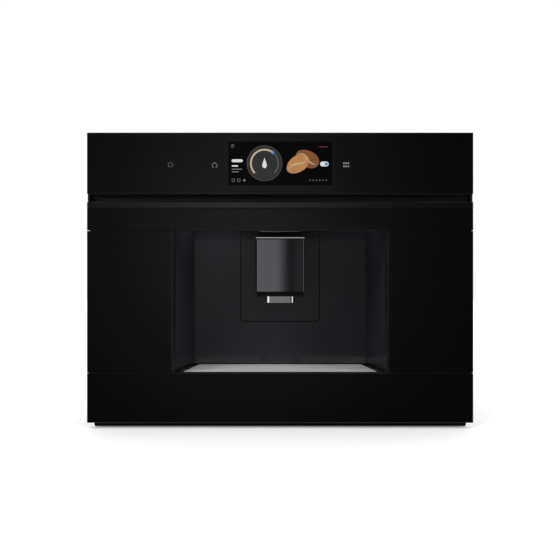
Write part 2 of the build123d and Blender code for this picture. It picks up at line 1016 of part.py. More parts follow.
# pockets between the ribs of the frame: three cells below the window on each side of
# the middle, and one beside the window
pocket_left = frame_inset - half + 2 * pocket_margin
pocket_right = half - frame_inset - pocket_margin
pocket_low = frame_low + pocket_margin
pocket_high = sight_low - pocket_margin
pockets = (
    (pocket_left, -frame_half - rib / 2, pocket_low, pocket_high),
    (rib / 2 - frame_half, -rib / 2, pocket_low, pocket_high),
    (rib / 2, frame_half - rib / 2, pocket_low, pocket_high),
    (frame_half + rib / 2, pocket_right, pocket_low, pocket_high),
    (pocket_left, -frame_half - pocket_margin, sight_low, sight_high),
    (frame_half + pocket_margin, pocket_right, sight_low, sight_high),
)
with BuildPart() as door_frame:
    slab(
        frame_inset - half,
        half - frame_inset,
        frame_low,
        frame_high,
        glass_thick,
        frame_back,
        frame_round,
    )
    for limits in pockets:
        slab(*limits, glass_thick + frame_skin, frame_back, pocket_round, Mode.SUBTRACT)
    slab(
        -frame_half,
        frame_half,
        sight_low,
        sight_high,
        glass_thick,
        frame_back,
        mode=Mode.SUBTRACT,
    )
    hinge_notches(glass_thick, frame_back)
    for z in hinge_heights:
        pin_low = z - knuckle_length / 2 - pin_bury
        pin_high = z + knuckle_length / 2 + pin_bury
        post(hinge_x, hinge_depth, pin_r + press_gap, pin_low, pin_high, Mode.SUBTRACT)
save(door_frame, "door_frame")

with BuildPart() as door_back_panel:
    slab(
        frame_inset - half,
        half - frame_inset,
        frame_low,
        frame_high,
        frame_back,
        front_thick,
        frame_round,
    )
    slab(
        -frame_half,
        frame_half,
        sight_low,
        sight_high,
        frame_back,
        front_thick,
        mode=Mode.SUBTRACT,
    )
    hinge_notches(frame_back, front_thick)
save(door_back_panel, "door_back_panel")

# slim frame that lines the window through the whole door
lining_front = 0.3
with BuildPart() as window_trim:
    slab(-frame_half, frame_half, sight_low, sight_high, glass_thick, front_thick)
    slab(
        -frame_half,
        frame_half,
        window_bottom + seam,
        window_top - seam,
        lining_front,
        glass_thick,
    )
    slab(
        -window_half,
        window_half,
        window_bottom,
        window_top,
        lining_front,
        front_thick,
        mode=Mode.SUBTRACT,
    )
save(window_trim, "window_trim")

# fixed knuckles, each on an arm with a foot held flat to the flange
knuckle_r = 2.6
arm_thick = 3.0
with BuildPart() as hinge_brackets:
    for z in hinge_heights:
        low = z - knuckle_length / 2
        high = low + knuckle_length
        left = hinge_x - arm_thick / 2
        post(hinge_x, hinge_depth, knuckle_r, low, high)
        deck(left, left + arm_thick, hinge_depth, flange_front, low, high)
        deck(left, hinge_x + notch_reach - notch_gap, front_thick, flange_front, low, high)
        post(hinge_x, hinge_depth, pin_r + shaft_gap, low, high, Mode.SUBTRACT)
save(hinge_brackets, "hinge_brackets")

with BuildPart() as hinge_pins:
    for z in hinge_heights:
        pin_low = z - knuckle_length / 2 - pin_bury
        post(hinge_x, hinge_depth, pin_r, pin_low, z + knuckle_length / 2 + pin_bury)
save(hinge_pins, "hinge_pins")

# magnets that hold the door's free side to the steel flange
magnet_aside = 6.0
magnet_x = opening_half + magnet_aside
magnet_width = 14.0
magnet_height = 28.0
magnet_thick = 1.0
magnet_corner = 2.0
with BuildPart() as door_magnets:
    for z in hinge_heights:
        slab(
            magnet_x - magnet_width / 2,
            magnet_x + magnet_width / 2,
            z - magnet_height / 2,
            z + magnet_height / 2,
            front_thick,
            front_thick + magnet_thick,
            magnet_corner,
        )
save(door_magnets, "door_magnets")

# ================================================================ drip tray
tray_front_gap = 0.5
tray_behind = 10.0  # behind the brewing chamber's middle
tray_front = flange_back + tray_front_gap
tray_back = brew_depth + tray_behind
tray_floor = tray_base + moulding
tray_corner = 4.0
deck_thick = 2.0
seat_gap = 1.0  # niche's back wall to the grounds container's seat
seat_front = niche_depth + seat_gap
basin_front = tray_front + 2 * moulding
plate_front_gap = 0.5
plate_back_gap = 0.3
plate_front_inset = 14.2
plate_back_inset = 10.2
plate_front = tray_front + plate_front_gap
plate_back = niche_depth - cove_run - plate_back_gap
plate_front_half = niche_front_half - plate_front_inset
plate_back_half = niche_back_half - plate_back_inset


# tapered plan of the drip plate, drawn in by a lap
def plate_outline(lap):
    Polygon(
        (lap - plate_front_half, at(plate_front + lap)),
        (plate_front_half - lap, at(plate_front + lap)),
        (plate_back_half - lap, at(plate_back - lap)),
        (lap - plate_back_half, at(plate_back - lap)),
        align=None,
    )


scoop_half = 60.0  # shallow finger scoop in the tray's front
scoop_rise = 20.0
scoop_tall = 16.0
scoop_low = tray_base + scoop_rise
scoop_high = scoop_low + scoop_tall
float_side = 42.0  # tray's side to the float's post
float_fore = 32.0
float_x = tray_half - float_side
float_depth = basin_front + float_fore
float_post_r = 3.0
float_post_drop = 12.0
float_post_top = plate_base - float_post_drop
with BuildPart() as drip_tray:
    deck(-tray_half, tray_half, tray_front, tray_back, tray_base, plate_base)
    # rear seat for the grounds container, open at the top
    deck(
        moulding - tray_half,
        tray_half - moulding,
        seat_front,
        tray_back - moulding,
        tray_floor,
        plate_base,
        tray_corner,
        Mode.SUBTRACT,
    )
    # basin under the deck that carries the plate
    deck(
        moulding - tray_half,
        tray_half - moulding,
        basin_front,
        seat_front - moulding,
        tray_floor,
        plate_base - deck_thick,
        tray_corner,
        Mode.SUBTRACT,
    )
    with BuildSketch(plan(plate_base - deck_thick)):
        plate_outline(plate_lap)
    extrude(amount=deck_thick, mode=Mode.SUBTRACT)
    slab(
        -scoop_half,
        scoop_half,
        scoop_low,
        scoop_high,
        tray_front,
        tray_front + moulding,
        tray_corner,
        Mode.SUBTRACT,
    )
    post(float_x, float_depth, float_post_r, tray_floor, float_post_top)
save(drip_tray, "drip_tray")

# steel plate with a row of drain slots along its front and its back edge
plate_corner = 3.0
drain_count = 11
drain_pitch = 20.0
drain_length = 13.0
drain_width = 2.4
drain_edge = 11.0
with BuildPart() as drip_plate:
    with BuildSketch(plan(plate_base)):
        plate_outline(0)
        fillet(vertices(), plate_corner)
        for d in (plate_front + drain_edge, plate_back - drain_edge):
            with Locations((0, at(d))):
                with GridLocations(drain_pitch, 1, drain_count, 1):
                    SlotOverall(drain_length, drain_width, mode=Mode.SUBTRACT)
    extrude(amount=plate_thick)
save(drip_plate, "drip_plate")

float_r = 11.0
float_height = 14.0
float_round = 2.0
float_bore_gap = 0.4
with BuildPart() as tray_float:
    low = tray_floor + slide_gap
    post(float_x, float_depth, float_r, low, low + float_height)
    fillet(edges().filter_by(GeomType.CIRCLE), float_round)
    bore_r = float_post_r + float_bore_gap
    post(float_x, float_depth, bore_r, low, low + float_height, Mode.SUBTRACT)
save(tray_float, "tray_float")

bin_gap = 1.0
bin_left = moulding - tray_half + bin_gap
bin_right = 10.0
bin_front = seat_front + bin_gap
bin_back = tray_back - moulding - bin_gap
bin_corner = 6.0
with BuildPart() as grounds_container:
    deck(bin_left, bin_right, bin_front, bin_back, tray_floor, plate_base, bin_corner)
    deck(
        bin_left + moulding,
        bin_right - moulding,
        bin_front + moulding,
        bin_back - moulding,
        tray_floor + moulding,
        plate_base,
        bin_corner - moulding,
        Mode.SUBTRACT,
    )
save(grounds_container, "grounds_container")

# rails on the base pan, each with an upright guide beside the tray
runner_wide = 12.0
runner_wall = 3.0
runner_gap = 0.5
runner_high = 24.0
runner_in = tray_half + runner_gap
runner_out = runner_in + runner_wall
runner_top = tray_base - slide_gap
with BuildPart() as tray_runners:
    for x in (-runner_out, runner_out - runner_wide):
        deck(x, x + runner_wide, fascia_back, tray_back, sheet, runner_top)
    for x in (-runner_out, runner_in):
        deck(x, x + runner_wall, fascia_back, tray_back, runner_top, tray_base + runner_high)
save(tray_runners, "tray_runners")

# ================================================================ water tank
box_clear = 2.0  # container to bay wall
box_wall = 2.5
tank_corner = 7.0
tank_headroom = 27.7  # tank to the top of its bay
box_front_gap = 1.5
box_front = fascia_back + box_front_gap
tank_left = bay_inner + box_clear
tank_right = bay_outer - box_clear
tank_back = socket_front - box_clear
tank_base = bay_floor + slide_gap
tank_top = bay_top - tank_headroom
nipple_tip_gap = 1.0
nipple_wall = 2.0
nipple_tip = bay_back - nipple_tip_gap
nipple_bore = nipple_r - nipple_wall
with BuildPart() as water_tank:
    deck(tank_left, tank_right, box_front, tank_back, tank_base, tank_top, tank_corner)
    deck(
        tank_left + box_wall,
        tank_right - box_wall,
        box_front + box_wall,
        tank_back - box_wall,
        tank_base + box_wall,
        tank_top,
        tank_corner - box_wall,
        Mode.SUBTRACT,
    )
    stud(bay_middle, nipple_z, nipple_r, tank_back - box_wall, nipple_tip)
    stud(bay_middle, nipple_z, nipple_bore, tank_back - box_wall, nipple_tip, Mode.SUBTRACT)
save(water_tank, "water_tank")

# fixed cap with a filling hole, and a flap that turns in two ears behind the hole
cap_thick = 3.0
flap_margin = 12.0  # side of the cap to the filling hole
flap_inset = 14.0  # front of the cap to the flap
flap_length = 70.0
flap_thick = 2.0
flap_lap = 1.5
flap_gap = 0.3
flap_corner = 1.5
hole_front_lap = 4.0
hole_back_lap = 8.0
hole_corner = 4.0
ear_thick = 4.0
ear_inset = 6.0
ear_half = 4.0
pivot_r = 2.0
barrel_r = 2.5
pivot_rise = 2.6  # above the flap's underside
pivot_gap = 0.08
flap_front = box_front + flap_inset
flap_back = flap_front + flap_length


def container_cap(x0, x1, back, top, corner):
    ear_low = top + cap_thick
    pivot_z = ear_low + flap_gap + pivot_rise
    deck(x0, x1, box_front, back, top, ear_low, corner)
    deck(
        x0 + flap_margin,
        x1 - flap_margin,
        flap_front + hole_front_lap,
        flap_back - hole_back_lap,
        top,
        ear_low,
        hole_corner,
        Mode.SUBTRACT,
    )
    for x in (x0 + ear_inset, x1 - ear_inset - ear_thick):
        ear_top = pivot_z + ear_half
        deck(x, x + ear_thick, flap_back - ear_half, flap_back + ear_half, ear_low, ear_top)
    axle(flap_back, pivot_z, pivot_r + pivot_gap, x0, x1, Mode.SUBTRACT)


def container_flap(x0, x1, top):
    low = top + cap_thick + flap_gap
    left = x0 + flap_margin - flap_lap
    right = x1 - flap_margin + flap_lap
    deck(left, right, flap_front, flap_back, low, low + flap_thick, flap_corner)
    axle(flap_back, low + pivot_rise, barrel_r, left, right)
    axle(flap_back, low + pivot_rise, pivot_r, x0 + ear_inset, x1 - ear_inset)


with BuildPart() as tank_cap:
    container_cap(tank_left, tank_right, tank_back, tank_top, tank_corner)
save(tank_cap, "tank_cap")

with BuildPart() as tank_flap:
    container_flap(tank_left, tank_right, tank_top)
save(tank_flap, "tank_flap")

# ================================================================ beans and milk
bean_left = box_clear - bay_outer
bean_right = -bay_inner - box_clear
bean_back_gap = 3.0
bean_back = bay_back - bean_back_gap
bean_corner = 4.0
bean_top = bean_base + bean_height
slope_rise = 30.0  # hopper floor at the front
slope_run = 40.0  # level floor at the back
slope_high = bean_base + slope_rise
slope_end = bean_back - slope_run
port_inset = 2.0  # the container's own port inside the bay's
with BuildPart() as bean_container:
    deck(bean_left, bean_right, box_front, bean_back, bean_base, bean_top, bean_corner)
    # hopper floor falls towards the port at the back
    with BuildSketch(across(bean_left + box_wall)):
        with BuildLine():
            Polyline(
                (at(box_front + box_wall), bean_top),
                (at(box_front + box_wall), slope_high),
                (at(slope_end), bean_base + box_wall),
                (at(bean_back - box_wall), bean_base + box_wall),
                (at(bean_back - box_wall), bean_top),
                close=True,
            )
        make_face()
    extrude(amount=bean_right - bean_left - 2 * box_wall, mode=Mode.SUBTRACT)
    slab(
        port_inset - bay_middle - port_half,
        port_half - port_inset - bay_middle,
        port_low,
        port_high - 2 * port_inset,
        bean_back - box_wall,
        bean_back,
        mode=Mode.SUBTRACT,
    )
save(bean_container, "bean_container")

with BuildPart() as bean_cap:
    container_cap(bean_left, bean_right, bean_back, bean_top, bean_corner)
save(bean_cap, "bean_cap")

with BuildPart() as bean_flap:
    container_flap(bean_left, bean_right, bean_top)
save(bean_flap, "bean_flap")

milk_back = 150.0
milk_headroom = 36.4  # milk container to the ledges above it
milk_top = ledge_base - milk_headroom
with BuildPart() as milk_container:
    deck(bean_left, bean_right, box_front, milk_back, tank_base, milk_top, tank_corner)
    deck(
        bean_left + box_wall,
        bean_right - box_wall,
        box_front + box_wall,
        milk_back - box_wall,
        tank_base + box_wall,
        milk_top,
        tank_corner - box_wall,
        Mode.SUBTRACT,
    )
save(milk_container, "milk_container")

# lid with a plug that fits inside the rim, a milk pipe and a connecting spout
plug_deep = 6.0
lid_high = 6.0
spout_high = 8.0
lid_spout_r = 6.0
pipe_r = 3.0
pipe_bore = 1.8
pipe_floor_gap = 4.0
milk_middle = (box_front + milk_back) / 2
with BuildPart() as milk_lid:
    plug_inset = box_wall + slide_gap
    deck(
        bean_left,
        bean_right,
        box_front,
        milk_back,
        milk_top + slide_gap,
        milk_top + lid_high,
        tank_corner,
    )
    deck(
        bean_left + plug_inset,
        bean_right - plug_inset,
        box_front + plug_inset,
        milk_back - plug_inset,
        milk_top - plug_deep,
        milk_top + slide_gap,
        tank_corner - box_wall,
    )
    pipe_end = tank_base + box_wall + pipe_floor_gap
    spout_top = milk_top + lid_high + spout_high
    post(-bay_middle, milk_middle, pipe_r, pipe_end, milk_top)
    post(-bay_middle, milk_middle, lid_spout_r, milk_top + lid_high, spout_top)
    post(-bay_middle, milk_middle, pipe_bore, pipe_end, spout_top, Mode.SUBTRACT)
save(milk_lid, "milk_lid")

# ================================================================ grinder
grinder_rise = 2.0  # above the bean container's base
grinder_tall = 42.0
grinder_floor = 6.0
grinder_high = bean_base + grinder_rise
grinder_low = grinder_high - grinder_tall
grind_floor = grinder_low + grinder_floor
burr_r = 24.0
burr_gap = 2.0
grind_r = burr_r + burr_gap
shaft_r = 4.0
shaft_hole = 5.0
throat_wall = 2.0
throat_half = port_half + throat_wall
throat_back = grinder_depth + throat_half
brew_rise = 9.0  # brewing unit's top above the grinder's foot
brew_top = grinder_low + brew_rise
chute_half = 9.0
chute_high = 16.0
chute_wall = 2.0
chute_gap = 0.5
chute_low = brew_top + chute_gap
chute_root = 6.0  # into the grinder's wall
chute_start = grinder_x + grinder_r - chute_root
chute_end = brew_x - chamber_r
with BuildPart() as grinder_housing:
    post(grinder_x, grinder_depth, grinder_r, grinder_low, grinder_high)
    post(grinder_x, grinder_depth, grind_r, grind_floor, grinder_high, Mode.SUBTRACT)
    post(grinder_x, grinder_depth, shaft_hole, grinder_low, grinder_high, Mode.SUBTRACT)
    deck(
        grinder_x - throat_half,
        grinder_x + throat_half,
        bay_rear,
        throat_back,
        grinder_high,
        port_high + throat_wall,
    )
    with BuildSketch(across(grinder_x - port_half)):
        with BuildLine():
            Polyline(
                (at(bay_rear), port_low),
                (at(bay_rear), port_high),
                (at(throat_back - throat_wall), port_high),
                (at(throat_back - throat_wall), grinder_high),
                (at(grinder_depth - grind_r + 2 * throat_wall), grinder_high),
                close=True,
            )
        make_face()
    extrude(amount=2 * port_half, mode=Mode.SUBTRACT)
    # chute that drops the grounds into the brewing chamber
    slab(
        chute_start,
        chute_end,
        chute_low,
        chute_low + chute_high,
        grinder_depth - chute_half,
        grinder_depth + chute_half,
    )
    slab(
        grinder_x + grind_r - 2 * chute_wall,
        chute_end,
        chute_low + chute_wall,
        chute_low + chute_high - chute_wall,
        grinder_depth - chute_half + chute_wall,
        grinder_depth + chute_half - chute_wall,
        mode=Mode.SUBTRACT,
    )
save(grinder_housing, "grinder_housing")

burr_rise = 20.0
burr_low = grinder_low + burr_rise
burr_base = 4.0
hub_r = 10.0
hub_length = 10.0
motor_foot_high = 8.0
motor_bevel = 3.0
shaft_short = 4.0  # shaft's end below the burr
shaft_top = burr_low - shaft_short
with BuildPart() as grinder_motor:
    post(grinder_x, grinder_depth, motor_r, shelf_top + motor_foot_high, grinder_low)
    post(grinder_x, grinder_depth, motor_foot, shelf_top, shelf_top + motor_foot_high)
    chamfer(edges().filter_by(GeomType.CIRCLE).group_by(Axis.Z)[-1], motor_bevel)
    post(grinder_x, grinder_depth, shaft_r, grinder_low, shaft_top)
save(grinder_motor, "grinder_motor")

# lower burr: a cone with teeth cut round its rim, on a hub that the shaft drives
cone_high = 10.0
cone_slope = 38.0
cone_inset = 2.0
tooth_count = 12
tooth_length = 9.0
tooth_width = 1.6
tooth_skew = 18.0
with BuildPart() as grinder_burr:
    post(grinder_x, grinder_depth, burr_r, burr_low, burr_low + burr_base)
    with BuildSketch(plan(burr_low + burr_base)):
        with Locations((grinder_x, at(grinder_depth))):
            Circle(burr_r - cone_inset)
    extrude(amount=cone_high, taper=cone_slope)
    with BuildSketch(plan(burr_low + burr_base)):
        with Locations((grinder_x, at(grinder_depth))):
            with PolarLocations(burr_r - 2 * cone_inset, tooth_count):
                Rectangle(tooth_length, tooth_width, rotation=tooth_skew)
    extrude(amount=cone_high, mode=Mode.SUBTRACT)
    post(grinder_x, grinder_depth, hub_r, burr_low - hub_length, burr_low)
    hub_bore = shaft_r + shaft_gap
    post(grinder_x, grinder_depth, hub_bore, burr_low - hub_length, burr_low, Mode.SUBTRACT)
save(grinder_burr, "grinder_burr")

# ================================================================ brewing unit
brew_fore = 52.0
brew_aft = 60.0
brew_front = brew_depth - brew_fore
brew_back = brew_depth + brew_aft
brew_corner = 4.0
chamber_deep = 64.0
chamber_floor = brew_top - chamber_deep
piston_gap = 0.1
piston_thick = 10.0
piston_drop = 2.0  # piston's top below the chamber's rim
piston_rod_r = 6.0
piston_travel = 36.0
bridge_rise = 56.0
bridge_thick = 14.0
bridge_low = brew_top + bridge_rise
bridge_high = bridge_low + bridge_thick
bridge_half = 16.0
column_half = 12.0
column_deep = 10.0
puck_way_drop = 22.0  # under the chamber's floor
with BuildPart() as brew_housing:
    deck(
        brew_x - brew_half,
        brew_x + brew_half,
        brew_front,
        brew_back,
        shelf_top,
        brew_top,
        brew_corner,
    )
    post(brew_x, brew_depth, chamber_r, chamber_floor, brew_top, Mode.SUBTRACT)
    # way for the spent puck, down through the shelf
    deck(
        brew_x - puck_half,
        brew_x + puck_half,
        puck_front,
        puck_back,
        shelf_top,
        chamber_floor - puck_way_drop,
        mode=Mode.SUBTRACT,
    )
    for d in (brew_front, brew_back - column_deep):
        left = brew_x - column_half
        deck(left, left + 2 * column_half, d, d + column_deep, brew_top, bridge_low)
    deck(
        brew_x - bridge_half,
        brew_x + bridge_half,
        brew_front,
        brew_back,
        bridge_low,
        bridge_high,
    )
    guide_r = piston_rod_r + piston_gap
    post(brew_x, brew_depth, guide_r, bridge_low, bridge_high, Mode.SUBTRACT)
save(brew_housing, "brew_housing")

piston_top = brew_top - piston_drop
piston_low = piston_top - piston_thick
rod_spare = 4.0
rod_top = bridge_high + piston_travel + rod_spare
with BuildPart() as brew_piston:
    post(brew_x, brew_depth, chamber_r - piston_gap, piston_low, piston_top)
    post(brew_x, brew_depth, piston_rod_r, piston_top, rod_top)
save(brew_piston, "brew_piston")

# ================================================================ water and power
# vibration pump lying on two feet, with a nipple at each end
pump_aside = 78.0  # brewing unit to the pump's body
pump_x = brew_x + brew_half + pump_aside
pump_r = 17.0
pump_length = 96.0
pump_foot = 12.0
pump_inset = 10.0
pump_nipple_r = 6.0
pump_nipple = 14.0
pump_end = pump_x + pump_length
pump_inset_back = 51.8
pump_depth = rear_front - pump_inset_back
pump_z = shelf_top + pump_foot + pump_r
with BuildPart() as water_pump:
    axle(pump_depth, pump_z, pump_r, pump_x, pump_end)
    for x in (pump_x + pump_inset, pump_end - pump_inset - pump_foot):
        front = pump_depth - pump_r
        deck(x, x + pump_foot, front, front + 2 * pump_r, shelf_top, pump_z)
    for x in (pump_x - pump_nipple, pump_end):
        axle(pump_depth, pump_z, pump_nipple_r, x, x + pump_nipple)
save(water_pump, "water_pump")

# cast heater block with cooling ribs at its back, on four feet
heater_overhang = 26.0  # towards the middle, past the bay's wall
heater_left = bay_inner - heater_overhang
heater_width = 100.0
heater_gap = 20.5
heater_front = bay_rear + heater_gap
heater_deep = 66.0
heater_foot = 10.0
heater_high = 88.0
heater_corner = 8.0
heater_foot_r = 5.0
heater_foot_inset = 14.0
heater_nipple_r = 4.0
heater_nipple = 12.0
rib_count = 6
rib_pitch = 12.0
rib_slot = 5.0
rib_deep = 6.0
heater_right = heater_left + heater_width
heater_back = heater_front + heater_deep
heater_low = shelf_top + heater_foot
heater_top = heater_low + heater_high
with BuildPart() as thermoblock:
    deck(
        heater_left,
        heater_right,
        heater_front,
        heater_back,
        heater_low,
        heater_top,
        heater_corner,
    )
    for number in range(rib_count):
        low = heater_low + rib_pitch * (number + 1)
        deck(
            heater_left,
            heater_right,
            heater_back - rib_deep,
            heater_back,
            low,
            low + rib_slot,
            mode=Mode.SUBTRACT,
        )
    for x in (heater_left + heater_foot_inset, heater_right - heater_foot_inset):
        for d in (heater_front + heater_foot_inset, heater_back - heater_foot_inset):
            post(x, d, heater_foot_r, shelf_top, heater_low)
    for x in (heater_left + heater_width / 3, heater_right - heater_width / 3):
        middle = heater_front + heater_deep / 2
        post(x, middle, heater_nipple_r, heater_top, heater_top + heater_nipple)
save(thermoblock, "thermoblock")

# circuit board on four pillars at the rear panel, with its larger components: place
# along and up the board, width, height, thickness
power_left = -30.0
power_wide = 150.0
power_tall = 140.0
power_rise = 62.0  # above the shelf
power_right = power_left + power_wide
power_low = shelf_top + power_rise
power_high = power_low + power_tall
power_pillar = 8.0
power_corner = 3.0
power_back = rear_front - power_pillar
power_face = power_back - board_thick
power_parts = (
    (30, 30, 30, 24, 22),
    (75, 30, 26, 22, 18),
    (120, 35, 22, 34, 20),
    (40, 95, 44, 36, 26),
    (110, 100, 40, 30, 12),
)
with BuildPart() as power_board:
    slab(
        power_left,
        power_right,
        power_low,
        power_high,
        power_face,
        power_back,
        power_corner,
    )
    for x in (power_left + power_pillar, power_right - power_pillar):
        for z in (power_low + power_pillar, power_high - power_pillar):
            stud(x, z, pillar_r, power_back, rear_front)
    for along, rise, w, h, t in power_parts:
        left = power_left + along - w / 2
        low = power_low + rise - h / 2
        slab(left, left + w, low, low + h, power_face - t, power_face)
save(power_board, "power_board")

# three-pin inlet in the rear panel
inlet_body = 26.0
inlet_collar = 3.0
inlet_corner = 3.0
inlet_wall = 2.0
socket_deep = 16.0
blade_thick = 2.0
blade_high = 4.0
blade_short = 2.0
blades = ((-7.0, -1.5), (0.0, 2.5), (7.0, -1.5))
with BuildPart() as mains_inlet:
    x0, x1, z0, z1 = inlet_hole
    slab(
        x0 - inlet_collar,
        x1 + inlet_collar,
        z0 - inlet_collar,
        z1 + inlet_collar,
        rear_back,
        depth,
        inlet_corner,
    )
    slab(x0, x1, z0, z1, rear_back - inlet_body, rear_back)
    slab(
        x0 + inlet_wall,
        x1 - inlet_wall,
        z0 + inlet_wall,
        z1 - inlet_wall,
        depth - socket_deep,
        depth,
        inlet_wall,
        Mode.SUBTRACT,
    )
    for x, z in blades:
        left = inlet_x + x - blade_thick / 2
        low = inlet_z + z - blade_high / 2
        tip = depth - blade_short
        slab(left, left + blade_thick, low, low + blade_high, depth - socket_deep, tip)
save(mains_inlet, "mains_inlet")

# mains switch in the inner front, reached with the door open
bezel = 2.0
bezel_stand = 1.0  # in front of the inner front
bezel_front = flange_back - bezel_stand
switch_deep = 22.0
switch_floor = 3.0
rocker_width = 10.0
rocker_height = 18.0
rocker_side_gap = 0.5
rocker_end_gap = 1.0
rocker_pivot_gap = 6.0
rocker_pivot = fascia_back + rocker_pivot_gap
rocker_pin_r = 1.5
with BuildPart() as switch_frame:
    x0, x1, z0, z1 = switch_hole
    slab(
        x0 - bezel,
        x1 + bezel,
        z0 - bezel,
        z1 + bezel,
        bezel_front,
        flange_back,
        opening_corner,
    )
    slab(x0, x1, z0, z1, flange_back, flange_back + switch_deep)
    slab(
        switch_x - rocker_width / 2 - rocker_side_gap,
        switch_x + rocker_width / 2 + rocker_side_gap,
        switch_z - rocker_height / 2 - rocker_end_gap,
        switch_z + rocker_height / 2 + rocker_end_gap,
        bezel_front,
        flange_back + switch_deep - switch_floor,
        mode=Mode.SUBTRACT,
    )
    axle(rocker_pivot, switch_z, rocker_pin_r + shaft_gap, x0, x1, Mode.SUBTRACT)
save(switch_frame, "switch_frame")

# rocker with a face bent in the middle, standing in its off position
rocker_reach = 7.4  # pivot to the middle of the face
rocker_lean = 1.3  # ends of the face in front of its middle
rocker_tail = 4.0
rocker_tail_half = 3.0
rocker_edge = 2.0
rocker_tip_inset = 0.6
rocker_edge_inset = 0.2
rocker_tilt = 8.0  # degrees
with BuildPart() as switch_rocker:
    tip = rocker_height / 2 - rocker_tip_inset
    edge = rocker_height / 2 - rocker_edge_inset
    with BuildSketch(across(switch_x - rocker_width / 2)):
        with Locations(Location((at(rocker_pivot), switch_z), rocker_tilt)):
            Polygon(
                (rocker_tail, -rocker_tail_half),
                (rocker_tail, rocker_tail_half),
                (rocker_edge - rocker_reach, edge),
                (-rocker_lean - rocker_reach, tip),
                (-rocker_reach, 0),
                (-rocker_lean - rocker_reach, -tip),
                (rocker_edge - rocker_reach, -edge),
                align=None,
            )
    extrude(amount=rocker_width)
    x0, x1, z0, z1 = switch_hole
    axle(rocker_pivot, switch_z, rocker_pin_r, x0, x1)
save(switch_rocker, "switch_rocker")

print("overall", width, depth, round(height, 3))
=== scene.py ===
import random
from math import cos, e, pi, radians, sin

import bmesh
import bpy
from mathutils import Matrix, Vector


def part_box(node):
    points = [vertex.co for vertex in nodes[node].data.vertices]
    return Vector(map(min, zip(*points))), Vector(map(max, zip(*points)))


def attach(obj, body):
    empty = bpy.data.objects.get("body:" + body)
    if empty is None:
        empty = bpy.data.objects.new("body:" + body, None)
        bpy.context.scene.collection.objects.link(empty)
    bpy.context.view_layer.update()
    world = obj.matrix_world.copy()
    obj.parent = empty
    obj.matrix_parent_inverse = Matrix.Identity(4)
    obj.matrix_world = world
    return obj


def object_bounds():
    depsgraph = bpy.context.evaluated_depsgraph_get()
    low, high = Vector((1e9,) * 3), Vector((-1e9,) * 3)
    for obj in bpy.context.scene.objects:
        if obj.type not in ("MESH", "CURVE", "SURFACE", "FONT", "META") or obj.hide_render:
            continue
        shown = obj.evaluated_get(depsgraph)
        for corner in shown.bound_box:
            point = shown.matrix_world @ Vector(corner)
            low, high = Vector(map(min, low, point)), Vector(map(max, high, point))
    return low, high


mm = 0.001
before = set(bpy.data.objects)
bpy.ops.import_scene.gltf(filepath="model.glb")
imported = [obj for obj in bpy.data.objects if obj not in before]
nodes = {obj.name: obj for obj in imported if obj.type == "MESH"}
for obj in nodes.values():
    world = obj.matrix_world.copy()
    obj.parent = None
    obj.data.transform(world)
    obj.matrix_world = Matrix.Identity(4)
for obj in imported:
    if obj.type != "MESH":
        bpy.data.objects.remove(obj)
cadBox = [list(corner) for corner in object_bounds()]
frontPlane = cadBox[0][1]


class Wire:
    # an output socket of a node tree; arithmetic on it adds Math nodes
    def __init__(self, tree, socket):
        self.tree = tree
        self.socket = socket

    def maths(self, operation, first, second, clamp=False):
        return self.tree.node("Math", {"operation": operation, "use_clamp": clamp}, {0: first, 1: second})

    def __add__(self, other):
        return self.maths("ADD", self, other)

    def __radd__(self, other):
        return self.maths("ADD", other, self)

    def __sub__(self, other):
        return self.maths("SUBTRACT", self, other)

    def __rsub__(self, other):
        return self.maths("SUBTRACT", other, self)

    def __mul__(self, other):
        return self.maths("MULTIPLY", self, other)

    def __rmul__(self, other):
        return self.maths("MULTIPLY", other, self)

    def __truediv__(self, other):
        return self.maths("DIVIDE", self, other)

    def __rpow__(self, other):
        return self.maths("POWER", other, self)

    def clamped(self, gain=1.0):
        # kept between 0 and 1
        return self.maths("MULTIPLY", self, gain, clamp=True)

    def above(self, low, high):
        # 0 at low, 1 at high, smooth between
        return self.tree.node(
            "MapRange", {"interpolation_type": "SMOOTHSTEP"}, {0: self, 1: low, 2: high, 3: 0.0, 4: 1.0}
        )


